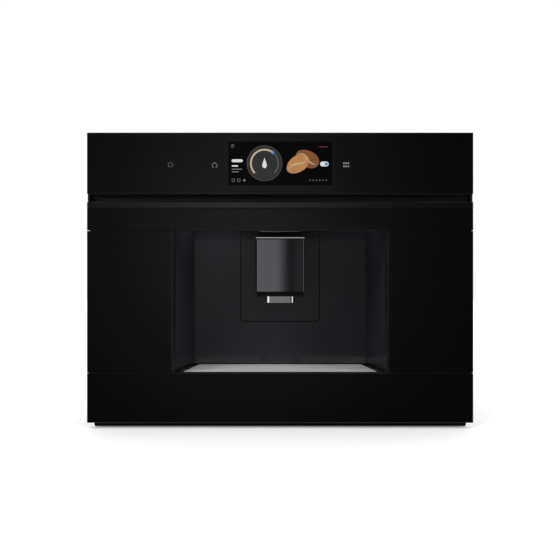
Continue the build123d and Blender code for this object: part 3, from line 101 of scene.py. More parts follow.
class Tree:
    # the node tree of a material or a world, written one line per node
    def __init__(self, owner):
        owner.use_nodes = True
        self.owner = owner
        self.made = owner.node_tree
        self.made.nodes.clear()

    def node(self, kind, settings={}, values={}, out=0):
        node = self.made.nodes.new("ShaderNode" + kind)
        for name, value in settings.items():
            setattr(node, name, value)
        for name, value in values.items():
            if isinstance(value, Wire):
                self.made.links.new(value.socket, node.inputs[name])
            elif isinstance(value, tuple) and node.inputs[name].type == "RGBA":
                node.inputs[name].default_value = (*value[:3], 1.0)
            else:
                node.inputs[name].default_value = value
        return Wire(self, node.outputs[out]) if node.outputs else None

    def place(self, stretch=(1.0, 1.0, 1.0)):
        here = self.node("TexCoord", out="Object")
        return self.node("VectorMath", {"operation": "MULTIPLY"}, {0: here, 1: stretch})

    def axis(self, letter):
        return self.node("SeparateXYZ", {}, {0: self.node("TexCoord", out="Object")}, out=letter)

    def noise(self, scale, detail=2.0, stretch=(1.0, 1.0, 1.0)):
        return self.node("TexNoise", {}, {"Vector": self.place(stretch), "Scale": scale, "Detail": detail})

    def cells(self, scale, out="Color"):
        return self.node("TexVoronoi", {}, {"Vector": self.place(), "Scale": scale}, out=out)

    def blend(self, factor, first, second):
        return self.node("Mix", {"data_type": "RGBA"}, {0: factor, 6: first, 7: second}, out=2)

    def mottle(self, factor, look):
        # the look's colour, from weak to strong as the factor goes from 0 to 1
        weak, strong = look["mottle"]
        return self.blend(factor, shade(look["colour"], weak), shade(look["colour"], strong))

    def edge(self, width):
        # 1 on a sharp outer or inner edge, 0 on the faces
        rounded = self.node("Bevel", {"samples": 4}, {"Radius": width})
        flat = self.node("NewGeometry", out="Normal")
        facing = self.node("VectorMath", {"operation": "DOT_PRODUCT"}, {0: rounded, 1: flat}, out="Value")
        return (1.0 - facing).clamped(6.0)  # full from about 34 degrees of rounding

    def ends(self, start, full):
        # 0 up to start, left and right of the machine's middle, and 1 beyond full
        across = self.axis("X")
        return (across * across).above(start * start, full * full)

    def bump(self, height, distance):
        return self.node("Bump", {}, {"Strength": 1.0, "Distance": distance, "Height": height})

    def rays(self):
        # what a ray is: from the camera, off a glossy surface, through a clear one
        kinds = ("Is Camera Ray", "Is Glossy Ray", "Is Transmission Ray")
        return [self.node("LightPath", out=kind) for kind in kinds]

    def skin(self, values):
        return self.end(self.node("BsdfPrincipled", {}, values))

    def end(self, shader, kind="OutputMaterial"):
        self.node(kind, {}, {0: shader})
        return self.owner


def newTree(name):
    return Tree(bpy.data.materials.new(name))


def dress(material, *names):
    for name in names:
        mesh = nodes[name].data
        mesh.materials.clear()
        mesh.materials.append(material)


def shade(colour, factor):
    return tuple(channel * factor for channel in colour)


def put(name, data):
    thing = bpy.data.objects.new(name, data)
    bpy.context.scene.collection.objects.link(thing)
    return thing


def meshFrom(name, bm, material):
    mesh = bpy.data.meshes.new(name)
    bm.to_mesh(mesh)
    bm.free()
    mesh.materials.append(material)
    return mesh


# Black glass: a near black body under a clear polish, with a ground and lighter edge
glass = {
    "colour": (0.0019, 0.0019, 0.0019), "mottle": (0.85, 1.15), "film": 7.0, "filmHeight": 0.00006,
    "polish": 0.055, "smears": 0.03, "streaks": 40.0, "streaksRun": (1.0, 1.0, 0.25),
    "groundEdge": (0.006, 0.006, 0.006), "edge": 0.45 * mm, "edgeRough": 0.25, "index": 1.5,
}


def blackGlass():
    t = newTree("frontGlass")
    film = t.noise(glass["film"], 3.0)
    streaks = t.noise(glass["streaks"], 4.0, glass["streaksRun"])
    edge = t.edge(glass["edge"])
    return t.skin({
        "Base Color": t.blend(edge, t.mottle(film, glass), glass["groundEdge"]),
        "Roughness": glass["polish"] + glass["smears"] * streaks * film + glass["edgeRough"] * edge,
        "IOR": glass["index"],
        "Normal": t.bump(film, glass["filmHeight"]),
    })


dress(blackGlass(), "control_glass", "bottom_glass", "left_glass", "right_glass", "band_glass")

# The lit screen behind the glass, dark where the picture is empty
screen = {
    "colour": (0.0008, 0.0008, 0.0009), "mottle": (1.0, 1.4), "grid": 5200.0, "cloud": 14.0,
    "glow": (0.0010, 0.0010, 0.0012), "glowWeak": 0.55, "glowStrength": 0.5,
    "polish": 0.06, "cloudRough": 0.03, "gloss": 0.10, "cloudHeight": 0.00002,
}


def darkScreen():
    t = newTree("darkScreen")
    grid = t.cells(screen["grid"], out="Distance")
    cloud = t.noise(screen["cloud"], 2.0)
    return t.skin({
        "Base Color": t.mottle(grid, screen),
        "Roughness": screen["polish"] + screen["cloudRough"] * cloud,
        "Emission Color": t.blend(cloud, shade(screen["glow"], screen["glowWeak"]), screen["glow"]),
        "Emission Strength": screen["glowStrength"],
        "Specular IOR Level": screen["gloss"],
        "Normal": t.bump(cloud, screen["cloudHeight"]),
    })


dress(darkScreen(), "display_screen")

# Moulded plastics: spark-eroded grain, the edges worn lighter; where the wear is below 1, as in the niche,
# the edges and inner corners are darkened instead, a painted shade
plastics = {
    "frontPlastic": {"colour": (0.0095, 0.0095, 0.0100), "rough": 0.42, "grain": 1500.0,
                     "depth": 0.00005, "wear": 1.35},
    # wear below 1 here: the niche's edges and inner corners get painted shade
    "nichePlastic": {"colour": (0.0190, 0.0186, 0.0222), "rough": 0.13, "grain": 1900.0,
                     "depth": 0.00001, "wear": 0.3, "edge": 1.3 * mm, "dullAlong": (0.45, 0.80)},
    "headPlastic": {"colour": (0.0025, 0.0025, 0.0028), "rough": 0.50, "gloss": 0.12, "grain": 1700.0,
                    "depth": 0.00003, "wear": 1.5},
    "trayPlastic": {"colour": (0.0300, 0.0300, 0.0315), "rough": 0.34, "grain": 1700.0,
                    "depth": 0.00003, "wear": 1.3},
    "trimPlastic": {"colour": (0.0040, 0.0040, 0.0043), "rough": 0.30, "gloss": 0.4, "grain": 1700.0,
                    "depth": 0.00002, "wear": 1.2},
    "lidPlastic": {"colour": (0.050, 0.050, 0.054), "rough": 0.45, "grain": 1400.0,
                   "depth": 0.00005, "wear": 1.5},
    "worksPlastic": {"colour": (0.105, 0.106, 0.112), "rough": 0.50, "grain": 1100.0,
                     "depth": 0.00006, "wear": 1.4},
    "floatPlastic": {"colour": (0.62, 0.055, 0.035), "rough": 0.30, "grain": 2200.0,
                     "depth": 0.00002, "wear": 1.25},
    "rockerPlastic": {"colour": (0.016, 0.016, 0.017), "rough": 0.24, "grain": 2400.0,
                      "depth": 0.00002, "wear": 2.0},
}
plastics["recessPlastic"] = {**plastics["frontPlastic"], "dullEnds": (292.4 * mm, 292.9 * mm)}
moulding = {  # the same in every plastic, unless it has its own
    "gloss": 0.5, "edge": 0.5 * mm, "mottle": (0.86, 1.14), "cloud": 11.0, "edgeShare": 0.8,
    "cloudRough": 0.10, "grainRough": 0.08, "edgeRough": -0.06,
}


def mouldedPlastic(name):
    look = {**moulding, **plastics[name]}
    t = newTree(name)
    cloud = t.noise(look["cloud"], 3.0)
    grain = t.noise(look["grain"], 1.0)
    edge = t.edge(look["edge"])
    # the edge mask: worn lighter on most plastics, painted shade on the niche's edges and inner corners
    edgeWearAndShade = edge * look["edgeShare"]
    uneven = look["cloudRough"] * (cloud - 0.5) + look["grainRough"] * (grain - 0.5)
    values = {
        "Base Color": t.blend(edgeWearAndShade, t.mottle(cloud, look), shade(look["colour"], look["wear"])),
        "Roughness": look["rough"] + uneven + look["edgeRough"] * edge,
        "Specular IOR Level": look["gloss"],
        "Normal": t.bump(grain, look["depth"]),
    }
    if "dullAlong" in look:
        # looked at along the wall, and in its corners, the grain swallows the gloss
        along = t.node("LayerWeight", {}, {"Blend": 0.5}, out="Facing").above(*look["dullAlong"])
        dulled = (along + edgeWearAndShade).clamped()
    elif "dullEnds" in look:
        dulled = t.ends(*look["dullEnds"])
    else:
        return t.skin(values)
    polished = t.node("BsdfPrincipled", {}, values)
    dull = t.node("BsdfPrincipled", {}, {**values, "Specular IOR Level": 0.0})
    return t.end(t.node("MixShader", {}, {0: dulled, 1: polished, 2: dull}))


for plastic, names in {
    "frontPlastic": ("door_frame", "control_housing", "inner_fascia", "left_bay", "right_bay",
                     "switch_frame", "outlet_carriage"),
    "recessPlastic": ("finger_recess",),
    "nichePlastic": ("niche_liner", "outlet_backplate"),
    "headPlastic": ("outlet_housing",),
    "trayPlastic": ("drip_tray", "grounds_container"),
    "trimPlastic": ("window_trim",),
    "lidPlastic": ("tank_cap", "tank_flap", "bean_cap", "bean_flap", "milk_lid"),
    "worksPlastic": ("grinder_housing", "brew_housing", "tray_runners", "mains_inlet"),
    "floatPlastic": ("tray_float",),
    "rockerPlastic": ("switch_rocker",),
}.items():
    dress(mouldedPlastic(plastic), *names)

# Zinc coated sheet: spangle, rolling lines, bare bright cut edges
sheet = {
    "colour": (0.52, 0.53, 0.54), "mottle": (0.80, 1.08), "metal": 0.75, "rough": 0.46,
    "spangle": 70.0, "spangleShare": 0.6, "spangleRough": 0.07, "cloud": 6.0,
    "rolling": 260.0, "rollingRun": (1.0, 1.0, 0.04), "rollingRough": 0.10,
    "edge": 0.9 * mm, "edgeShare": 0.6, "cutEdge": 1.35, "edgeRough": -0.12, "depth": 0.00004,
}


def zincSheet():
    t = newTree("zincSheet")
    spangle = t.node("SeparateColor", {}, {0: t.cells(sheet["spangle"])}, out=0)
    rolling = t.noise(sheet["rolling"], 3.0, sheet["rollingRun"])
    cloud = t.noise(sheet["cloud"], 4.0)
    edge = t.edge(sheet["edge"])
    share = sheet["spangleShare"]
    body = t.mottle(spangle * share + cloud * (1 - share), sheet)
    uneven = sheet["spangleRough"] * (spangle - 0.5) + sheet["rollingRough"] * (rolling - 0.5)
    return t.skin({
        "Base Color": t.blend(edge * sheet["edgeShare"], body, shade(sheet["colour"], sheet["cutEdge"])),
        "Metallic": sheet["metal"],
        "Roughness": sheet["rough"] + uneven + sheet["edgeRough"] * edge,
        "Normal": t.bump(rolling + 0.5 * spangle, sheet["depth"]),
    })


dress(
    zincSheet(), "left_side_panel", "right_side_panel", "rear_panel", "top_cover", "base_pan",
    "shelf_deck", "hinge_brackets",
)

# Black powder coat with orange peel, rubbed through a little on the edges
powder = {
    "colour": (0.0042, 0.0042, 0.0043), "mottle": (0.85, 1.15), "cloud": 9.0, "cloudRough": 0.06,
    "rough": 0.48, "gloss": 0.06, "peel": 520.0, "peelRough": 0.12, "peelHeight": 0.00008,
    "rubbed": (0.0060, 0.0060, 0.0062), "edge": 0.7 * mm, "edgeShare": 0.7, "edgeRough": -0.14,
}


def powderCoat():
    t = newTree("powderCoat")
    peel = t.noise(powder["peel"], 2.0)
    cloud = t.noise(powder["cloud"], 3.0)
    edge = t.edge(powder["edge"])
    uneven = powder["peelRough"] * (peel - 0.5) + powder["cloudRough"] * (cloud - 0.5)
    return t.skin({
        "Base Color": t.blend(edge * powder["edgeShare"], t.mottle(cloud, powder), powder["rubbed"]),
        "Roughness": powder["rough"] + uneven + powder["edgeRough"] * edge,
        "Specular IOR Level": powder["gloss"],
        "Normal": t.bump(peel, powder["peelHeight"]),
    })


dress(powderCoat(), "front_frame", "door_back_panel")

# The grip strip on top of the door: satin anodised, lighter along its edges
strip = {
    "colour": (0.0026, 0.0026, 0.0028), "mottle": (0.88, 1.12), "rough": 0.08,
    "lines": 900.0, "linesRun": (0.02, 1.0, 1.0), "linesRough": 0.08, "depth": 0.00002,
    "cloud": 8.0, "cloudRough": 0.05, "bright": (0.008, 0.008, 0.0085), "edge": 0.9 * mm,
}


def gripStrip():
    t = newTree("gripStrip")
    lines = t.noise(strip["lines"], 2.0, strip["linesRun"])
    cloud = t.noise(strip["cloud"], 3.0)
    edge = t.edge(strip["edge"])
    return t.skin({
        "Base Color": t.blend(edge, t.mottle(lines, strip), strip["bright"]),
        "Roughness": strip["rough"] + strip["linesRough"] * (lines - 0.5) + strip["cloudRough"] * cloud,
        "Normal": t.bump(lines, strip["depth"]),
    })


dress(gripStrip(), "door_grip")

# Brushed steels: the lines run along the axis with the small share; the edges lighter where worn, and darker
# on the outlet cover and its trim; the trim's ends darkened as painted shade
steels = {
    "plateSteel": {"colour": (0.83, 0.83, 0.84), "metal": 0.35, "rough": 0.42, "lines": (0.010, 1.0, 1.0),
                   "count": 1500.0, "depth": 0.00003, "mottle": (0.90, 1.10), "wear": 1.2,
                   "edgeRough": -0.06},
    "coverSteel": {"colour": (0.0885, 0.0870, 0.0970), "metal": 0.95, "rough": 0.12,
                   "lines": (1.0, 1.0, 0.010), "count": 1800.0, "depth": 0.00001,
                   "mottle": (0.95, 1.05), "wear": 0.05, "edgeRough": 0.35},
    "brightMetal": {"colour": (0.82, 0.82, 0.83), "metal": 1.0, "rough": 0.11, "lines": (1.0, 1.0, 0.05),
                    "count": 700.0, "depth": 0.00001, "mottle": (0.95, 1.05), "wear": 1.1,
                    "edgeRough": 0.05},
    "trimMetal": {"colour": (0.72, 0.72, 0.73), "metal": 0.35, "rough": 0.35, "lines": (0.02, 1.0, 1.0),
                  "count": 900.0, "depth": 0.00001, "mottle": (0.95, 1.05), "wear": 0.75,
                  "edgeRough": 0.10, "shadedEnds": (38.0 * mm, 38.8 * mm)},
    "machineSteel": {"colour": (0.40, 0.41, 0.42), "metal": 0.95, "rough": 0.32, "lines": (1.0, 0.05, 1.0),
                     "count": 900.0, "depth": 0.00003, "mottle": (0.88, 1.12), "wear": 1.3,
                     "edgeRough": -0.06},
    "magnetPlating": {"colour": (0.34, 0.34, 0.35), "metal": 1.0, "rough": 0.26, "lines": (1.0, 1.0, 1.0),
                      "count": 800.0, "depth": 0.00002, "mottle": (0.90, 1.10), "wear": 1.3,
                      "edgeRough": -0.06},
}
brushing = {  # the same in every steel
    "linesShare": 0.7, "linesRough": 0.16, "cloud": 12.0, "cloudRough": 0.06,
    "edge": 0.7 * mm, "paintedEndShade": 0.02,
}


def brushedSteel(name, tilt=None):
    look = {**brushing, **steels[name]}
    t = newTree(name)
    lines = t.noise(look["count"], 3.0, look["lines"])
    cloud = t.noise(look["cloud"], 3.0)
    edge = t.edge(look["edge"])
    share = look["linesShare"]
    body = t.mottle(lines * share + cloud * (1 - share), look)
    colour = t.blend(edge, body, shade(look["colour"], look["wear"]))
    # the trim's folded ends painted near black, a painted shade for where its corners turn away from the
    # light
    if "shadedEnds" in look:
        colour = t.blend(t.ends(*look["shadedEnds"]), colour, shade(look["colour"], look["paintedEndShade"]))
    if tilt is None:
        normal = t.bump(lines, look["depth"])
    else:
        normal = t.bump(lines * look["depth"] + tilt(t), 1.0)
    uneven = look["linesRough"] * (lines - 0.5) + look["cloudRough"] * (cloud - 0.5)
    return t.skin({
        "Base Color": colour,
        "Metallic": look["metal"],
        "Roughness": look["rough"] + uneven + look["edgeRough"] * edge,
        "Normal": normal,
    })


dress(brushedSteel("plateSteel"), "drip_plate")
dress(brushedSteel("brightMetal"), "outlet_nozzle", "outlet_rails", "hinge_pins", "housing_screws")
dress(brushedSteel("trimMetal"), "outlet_trim")
dress(brushedSteel("machineSteel"), "grinder_motor", "grinder_burr", "water_pump")
dress(brushedSteel("magnetPlating"), "door_magnets")

# The outlet cover is pressed very slightly hollow, which turns the studio's left side into it
cover = {"lean": 0.166, "bow": 1.27}


def coverBow(t):
    across = t.axis("X")
    return across * cover["lean"] - across * across * cover["bow"]


dress(brushedSteel("coverSteel", coverBow), "outlet_cover")

# Cast and blasted aluminium, brighter on machined edges
cast = {
    "colour": (0.56, 0.56, 0.57), "mottle": (0.72, 1.1), "metal": 0.9, "stain": 18.0,
    "rough": 0.52, "grit": 1600.0, "gritRough": 0.2, "gritHeight": 0.00009,
    "edge": 0.8 * mm, "edgeShare": 0.7, "machined": 1.5, "edgeRough": -0.15,
}


def castAluminium():
    t = newTree("castAluminium")
    grit = t.noise(cast["grit"], 2.0)
    stain = t.noise(cast["stain"], 4.0)
    edge = t.edge(cast["edge"])
    machined = shade(cast["colour"], cast["machined"])
    return t.skin({
        "Base Color": t.blend(edge * cast["edgeShare"], t.mottle(stain, cast), machined),
        "Metallic": cast["metal"],
        "Roughness": cast["rough"] + cast["gritRough"] * (grit - 0.5) + cast["edgeRough"] * edge,
        "Normal": t.bump(grit, cast["gritHeight"]),
    })


dress(castAluminium(), "thermoblock", "brew_piston")

# Clear smoky plastic of the water, bean and milk containers
clear = {
    "colour": (0.74, 0.78, 0.81), "mottle": (0.94, 1.0), "clearness": 0.95, "flow": 9.0,
    "rough": 0.05, "scuffs": 300.0, "scuffsRun": (1.0, 1.0, 0.2), "scuffRough": 0.12,
    "flowHeight": 0.0002, "edgeColour": (0.88, 0.92, 0.95), "edge": 0.9 * mm, "edgeRough": 0.1,
    "index": 1.49,
}


def clearPlastic():
    t = newTree("clearPlastic")
    flow = t.noise(clear["flow"], 3.0)
    scuffs = t.noise(clear["scuffs"], 3.0, clear["scuffsRun"])
    edge = t.edge(clear["edge"])
    return t.skin({
        "Base Color": t.blend(edge, t.mottle(flow, clear), clear["edgeColour"]),
        "Roughness": clear["rough"] + clear["scuffRough"] * scuffs * flow + clear["edgeRough"] * edge,
        "IOR": clear["index"],
        "Transmission Weight": clear["clearness"],
        "Normal": t.bump(flow, clear["flowHeight"]),
    })


dress(clearPlastic(), "water_tank", "bean_container", "milk_container")

# Frosted lamp cover in the roof of the niche, with fine ribs
lamp = {
    "colour": (0.80, 0.79, 0.75), "mottle": (0.9, 1.0), "haze": 60.0, "ribs": 2500.0,
    "ribHeight": 0.00008, "rough": 0.45, "hazeRough": 0.1, "edge": 0.5 * mm, "edgeRough": -0.1,
    "milky": 0.3,
}


def lampCover():
    t = newTree("lampCover")
    ribs = t.node("Math", {"operation": "SINE"}, {0: t.axis("X") * lamp["ribs"]})
    haze = t.noise(lamp["haze"], 3.0)
    edge = t.edge(lamp["edge"])
    return t.skin({
        "Base Color": t.mottle(haze, lamp),
        "Roughness": lamp["rough"] + lamp["hazeRough"] * haze + lamp["edgeRough"] * edge,
        "Subsurface Weight": lamp["milky"],
        "Normal": t.bump(ribs, lamp["ribHeight"]),
    })


dress(lampCover(), "niche_lamp")

# Circuit boards: green lacquer over tracks, pads of solder, dark parts standing on them
board = {
    "lacquer": (0.010, 0.085, 0.035), "track": (0.030, 0.17, 0.065), "trackShare": 0.6,
    "solder": (0.62, 0.62, 0.60), "solderMetal": 0.8, "part": (0.018, 0.018, 0.020), "partEdge": 2.2,
    "tracks": 210.0, "trackWidth": (0.0011, 0.0016), "pads": 420.0, "padSize": (0.22, 0.26),
    "partHeight": (0.3 * mm, 0.6 * mm), "rough": 0.30, "partRough": 0.18, "grain": 900.0,
    "grainRough": 0.1, "edge": 0.5 * mm, "edgeShare": 0.5, "depth": 0.00004,
    "controlParts": 4.0 * mm,  # how far the parts stand off the control board's face
    "powerThickness": 1.6 * mm,
}


def circuitBoard(name, letter, surface):
    # the board lies across one axis; what stands off its face is a part
    t = newTree(name)
    tracks = t.cells(board["tracks"], out="Distance").above(*board["trackWidth"])
    pads = 1.0 - t.cells(board["pads"], out="Distance").above(*board["padSize"])
    onParts = (t.axis(letter) - surface).above(*board["partHeight"])
    bare = 1.0 - onParts
    grain = t.noise(board["grain"], 2.0)
    edge = t.edge(board["edge"])
    plain = t.blend(tracks * board["trackShare"], board["track"], board["lacquer"])
    soldered = t.blend(pads * bare, plain, board["solder"])
    parts = t.blend(edge * board["edgeShare"], board["part"], shade(board["part"], board["partEdge"]))
    return t.skin({
        "Base Color": t.blend(onParts, soldered, parts),
        "Metallic": pads * bare * board["solderMetal"],
        "Roughness": board["rough"] + board["partRough"] * onParts + board["grainRough"] * (grain - 0.5),
        "Normal": t.bump(grain + tracks, board["depth"]),
    })


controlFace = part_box("control_board")[1].y - board["controlParts"]
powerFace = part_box("power_board")[0].z + board["powerThickness"]
dress(circuitBoard("controlBoard", "Y", controlFace), "control_board")
dress(circuitBoard("powerBoard", "Z", powerFace), "power_board")
print("finishes on every CAD part")


# Flat shapes drawn across the front, as (across, up) in millimetres, each a thin plate of its own
def flatShape(name, loops, front, back, material, body="chassis"):
    curve = bpy.data.curves.new(name, "CURVE")
    curve.dimensions = "2D"
    curve.fill_mode = "BOTH"
    curve.extrude = (back - front) * mm / 2
    for loop in loops:
        spline = curve.splines.new("POLY")
        spline.points.add(len(loop) - 1)
        for point, (across, up) in zip(spline.points, loop):
            point.co = (across * mm, up * mm, 0.0, 1.0)
        spline.use_cyclic_u = True
    drawn = bpy.data.objects.new(name + "Drawn", curve)
    mesh = bpy.data.meshes.new_from_object(drawn)
    bpy.data.objects.remove(drawn)
    upright = Matrix.Rotation(pi / 2, 4, "X")
    mesh.transform(Matrix.Translation((0.0, frontPlane + (front + back) * mm / 2, 0.0)) @ upright)
    mesh.materials.clear()
    mesh.materials.append(material)
    piece = put(name, mesh)
    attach(piece, body)


def around(across, up, radius, angle):
    return across + radius * cos(angle), up + radius * sin(angle)


def disc(across, up, radius, steps=48):
    return [around(across, up, radius, radians(360.0 * i / steps)) for i in range(steps)]


def arc(across, up, radius, width, start, sweep, steps=40):
    # a band along part of a circle, angles in degrees from the right, turning left
    turn = [radians(start + sweep * i / steps) for i in range(steps + 1)]
    outer = [around(across, up, radius + width / 2, a) for a in turn]
    inner = [around(across, up, radius - width / 2, a) for a in reversed(turn)]
    return outer + inner


def ring(across, up, radius, width, steps=40):
    # stops a hair short of itself, so that its outline is one loop
    return arc(across, up, radius, width, 0, 359.9, steps)


def pill(across, up, width, height, corner=None, steps=8):
    # a rectangle with rounded corners, as round as they can be where no corner is given
    corner = min(height, width) / 2 if corner is None else corner
    loop = []
    for sideways, upwards, start in ((1, 1, 0), (-1, 1, 90), (-1, -1, 180), (1, -1, 270)):
        middleAcross = across + sideways * (width / 2 - corner)
        middleUp = up + upwards * (height / 2 - corner)
        for i in range(steps + 1):
            loop.append(around(middleAcross, middleUp, corner, radians(start + 90 * i / steps)))
    return loop


def turned(loop, across, up, angle):
    a = radians(angle)
    return [
        (across + (x - across) * cos(a) - (z - up) * sin(a), up + (x - across) * sin(a) + (z - up) * cos(a))
        for x, z in loop
    ]


def band(points, width):
    # a line of even width along open points, its corners mitred
    points = [Vector(point) for point in points]
    ways = [(b - a).normalized() for a, b in zip(points, points[1:])]
    left, right = [], []
    for point, before, after in zip(points, ways[:1] + ways, ways + ways[-1:]):
        out = Vector((-before.y - after.y, before.x + after.x)).normalized()
        out *= width / 2 / out.dot(Vector((-before.y, before.x)))
        left.append(tuple(point + out))
        right.append(tuple(point - out))
    return left + right[::-1]


# Lit patches of the picture, a little uneven, under the same polish as the glass
patches = {
    "coffeeGlow": {"colour": (0.55, 0.255, 0.093), "weak": 0.6, "cloud": 160.0},
    "roastGlow": {"colour": (0.23, 0.092, 0.035), "weak": 0.7, "cloud": 160.0},
    "creamGlow": {"colour": (0.56, 0.45, 0.29), "weak": 0.8, "cloud": 90.0},
    "dialGrey": {"colour": (0.030, 0.0302, 0.031), "weak": 0.55, "cloud": 40.0},
    "dialLine": {"colour": (0.075, 0.076, 0.078), "weak": 0.75, "cloud": 60.0},
    "paleBar": {"colour": (0.72, 0.73, 0.74), "weak": 0.9, "cloud": 60.0},
    "dimBar": {"colour": (0.16, 0.16, 0.165), "weak": 0.85, "cloud": 60.0},
    "blueDot": {"colour": (0.12, 0.26, 0.52), "weak": 0.9, "cloud": 60.0},
    "redLine": {"colour": (0.22, 0.045, 0.035), "weak": 0.8, "cloud": 60.0},
}
polish = {  # the same in every patch
    "mottle": (0.02, 0.03), "rough": 0.08, "cloudRough": 0.04, "cloudHeight": 0.00001,
}


def litPatch(name):
    look = {**polish, **patches[name]}
    t = newTree(name)
    cloud = t.noise(look["cloud"], 3.0)
    return t.skin({
        "Base Color": t.mottle(cloud, look),
        "Roughness": look["rough"] + look["cloudRough"] * cloud,
        "Emission Color": t.blend(cloud, shade(look["colour"], look["weak"]), look["colour"]),
        "Emission Strength": 1.0,
        "Normal": t.bump(cloud, look["cloudHeight"]),
    })


coffee, roast, cream, dialGrey, dialLine, paleBar, dimBar, blueDot, redLine = map(litPatch, patches)

# The picture: a pair of beans beside a grey strength dial, bars for lines of text, small signs
picture = {
    "middle": 407.65, "topRow": 434.5, "alertRow": 433.0, "signRow": 381.6,
    "beanLength": 38.0, "beanWidth": 25.0, "beanSteps": 56, "beanTaper": 0.08,
    "creaseLength": 0.92, "creaseWave": 0.13, "creaseWidth": 0.045, "creaseSteps": 24,
    "dialAcross": -24.0, "dialRadius": 27.0, "trackRadius": 21.0, "markTurn": 53.0,
    "dropWidth": 6.2, "dropHeight": 8.4, "dropBelly": 0.42, "dropSteps": 48, "dropUp": 1.0,
    "layers": (0.21, 0.17, 0.13, 0.09),  # millimetres behind the front plane, back to front
    "layerThickness": 0.03,
}


def beanLoops(across, up, tilt):
    length, width, steps = picture["beanLength"], picture["beanWidth"], picture["creaseSteps"]
    body = []
    for i in range(picture["beanSteps"]):
        a = 2 * pi * i / picture["beanSteps"]
        fuller = 1 + picture["beanTaper"] * cos(a)
        body.append((across + length / 2 * cos(a), up + width / 2 * sin(a) * fuller))
    crease = []
    for side in (1, -1):
        for i in range(steps + 1):
            s = i / steps if side > 0 else 1 - i / steps
            wave = width * picture["creaseWave"] * sin(2 * pi * s)
            half = side * width * picture["creaseWidth"] * sin(pi * s)
            crease.append((across + length * (s - 0.5) * picture["creaseLength"], up + wave + half))
    return turned(body, across, up, tilt), turned(crease, across, up, tilt)


def dropLoop(across, up):
    loop = []
    for i in range(picture["dropSteps"]):
        a = 2 * pi * i / picture["dropSteps"]
        belly = picture["dropBelly"] - picture["dropBelly"] * cos(a)
        loop.append((across + picture["dropWidth"] * sin(a) * belly, up + picture["dropHeight"] * cos(a)))
    return loop


middle, topRow, signRow = picture["middle"], picture["topRow"], picture["signRow"]
dialAcross, dialRadius, trackRadius = picture["dialAcross"], picture["dialRadius"], picture["trackRadius"]
backBean, backCrease = beanLoops(42.0, middle + 7.0, -28.0)
frontBean, frontCrease = beanLoops(27.0, middle - 1.0, 35.0)
markPlace = around(dialAcross, middle, trackRadius, radians(picture["markTurn"]))
for name, loops, step, colour in (
    ("screenBeanBack", [backBean], 0, roast),
    ("screenBeanBackCrease", [backCrease], 1, cream),
    ("screenBeanFront", [frontBean], 1, coffee),
    ("screenBeanFrontCrease", [frontCrease], 2, cream),
    ("screenDial", [disc(dialAcross, middle, dialRadius, 72)], 0, dialGrey),
    ("screenDialRing", [ring(dialAcross, middle, dialRadius, 0.7, 90)], 1, dialLine),
    ("screenDialSweep", [arc(dialAcross, middle, trackRadius, 2.6, 225, -170, 60)], 1, cream),
    ("screenDialRest", [arc(dialAcross, middle, trackRadius, 1.0, 50, -95)], 1, dimBar),
    ("screenDialMark", [disc(*markPlace, 2.4)], 2, blueDot),
    ("screenDialDrop", [dropLoop(dialAcross, middle + picture["dropUp"])], 1, paleBar),
    ("screenHeading", [pill(-66.0, middle + 4.0, 17.0, 4.4), pill(-69.5, middle - 4.0, 10.0, 2.0)],
     0, paleBar),
    ("screenNotes", [pill(-66.5, middle - 9.0, 16.0, 1.5), pill(-69.0, middle - 13.0, 11.0, 1.5)],
     0, dimBar),
    ("screenSwitch", [pill(68.0, middle - 1.0, 13.0, 7.4)], 0, paleBar),
    ("screenSwitchKnob", [disc(71.0, middle - 1.0, 2.6)], 1, blueDot),
    ("screenSign1", [ring(-72.0, signRow, 2.3, 0.7)], 0, dimBar),
    ("screenSign2", [arc(-63.5, signRow, 2.3, 0.7, 110, 320), pill(-63.5, signRow + 2.0, 0.7, 2.4)],
     0, dimBar),
    ("screenSign3", [turned(pill(-55.0, signRow, 3.6, 3.6, 0.6), -55.0, signRow, 45)], 0, dimBar),
    ("screenPages", [disc(46.0 + 5.0 * i, signRow, 0.9, 20) for i in range(6)], 0, dimBar),
    ("screenAlert", [pill(66.0, picture["alertRow"], 14.0, 0.8)], 0, redLine),
    ("screenClock", [ring(-73.0, topRow, 2.2, 0.6), pill(-73.0, topRow + 0.8, 0.6, 1.8),
                     pill(-72.4, topRow - 0.1, 1.4, 0.6)], 0, dimBar),
):
    front = picture["layers"][step]
    flatShape(name, loops, front, front + picture["layerThickness"], colour)
print("screen picture drawn")

# Touch symbols printed on the control glass, a hair proud of its face
symbols = {
    "colour": (0.24, 0.24, 0.245), "mottle": (0.8, 1.0), "wear": 700.0, "rough": 0.18, "wearRough": 0.1,
    "wearHeight": 0.00001, "up": 405.35, "proud": 0.03, "sunk": 0.2, "thin": 0.36, "bold": 0.60,
    "powerAcross": -168.6, "powerRadius": 3.4, "powerMark": 2.6, "powerMarkUp": 3.5,
    "homeAcross": -100.7,
    "menuAcross": 101.5, "menuPitch": 3.4, "menuRow": 2.35,
    "menuTile": (2.0, 2.6, 0.3),  # width, height, corner
}
house = [(-1.2, -3.6), (-3.5, -3.6), (-3.5, 0.6), (0.0, 3.6), (3.5, 0.6), (3.5, -3.6), (1.2, -3.6)]


def symbolInk():
    t = newTree("symbolInk")
    wear = t.noise(symbols["wear"], 2.0)
    return t.skin({
        "Base Color": t.mottle(wear, symbols),
        "Roughness": symbols["rough"] + symbols["wearRough"] * wear,
        "Normal": t.bump(wear, symbols["wearHeight"]),
    })


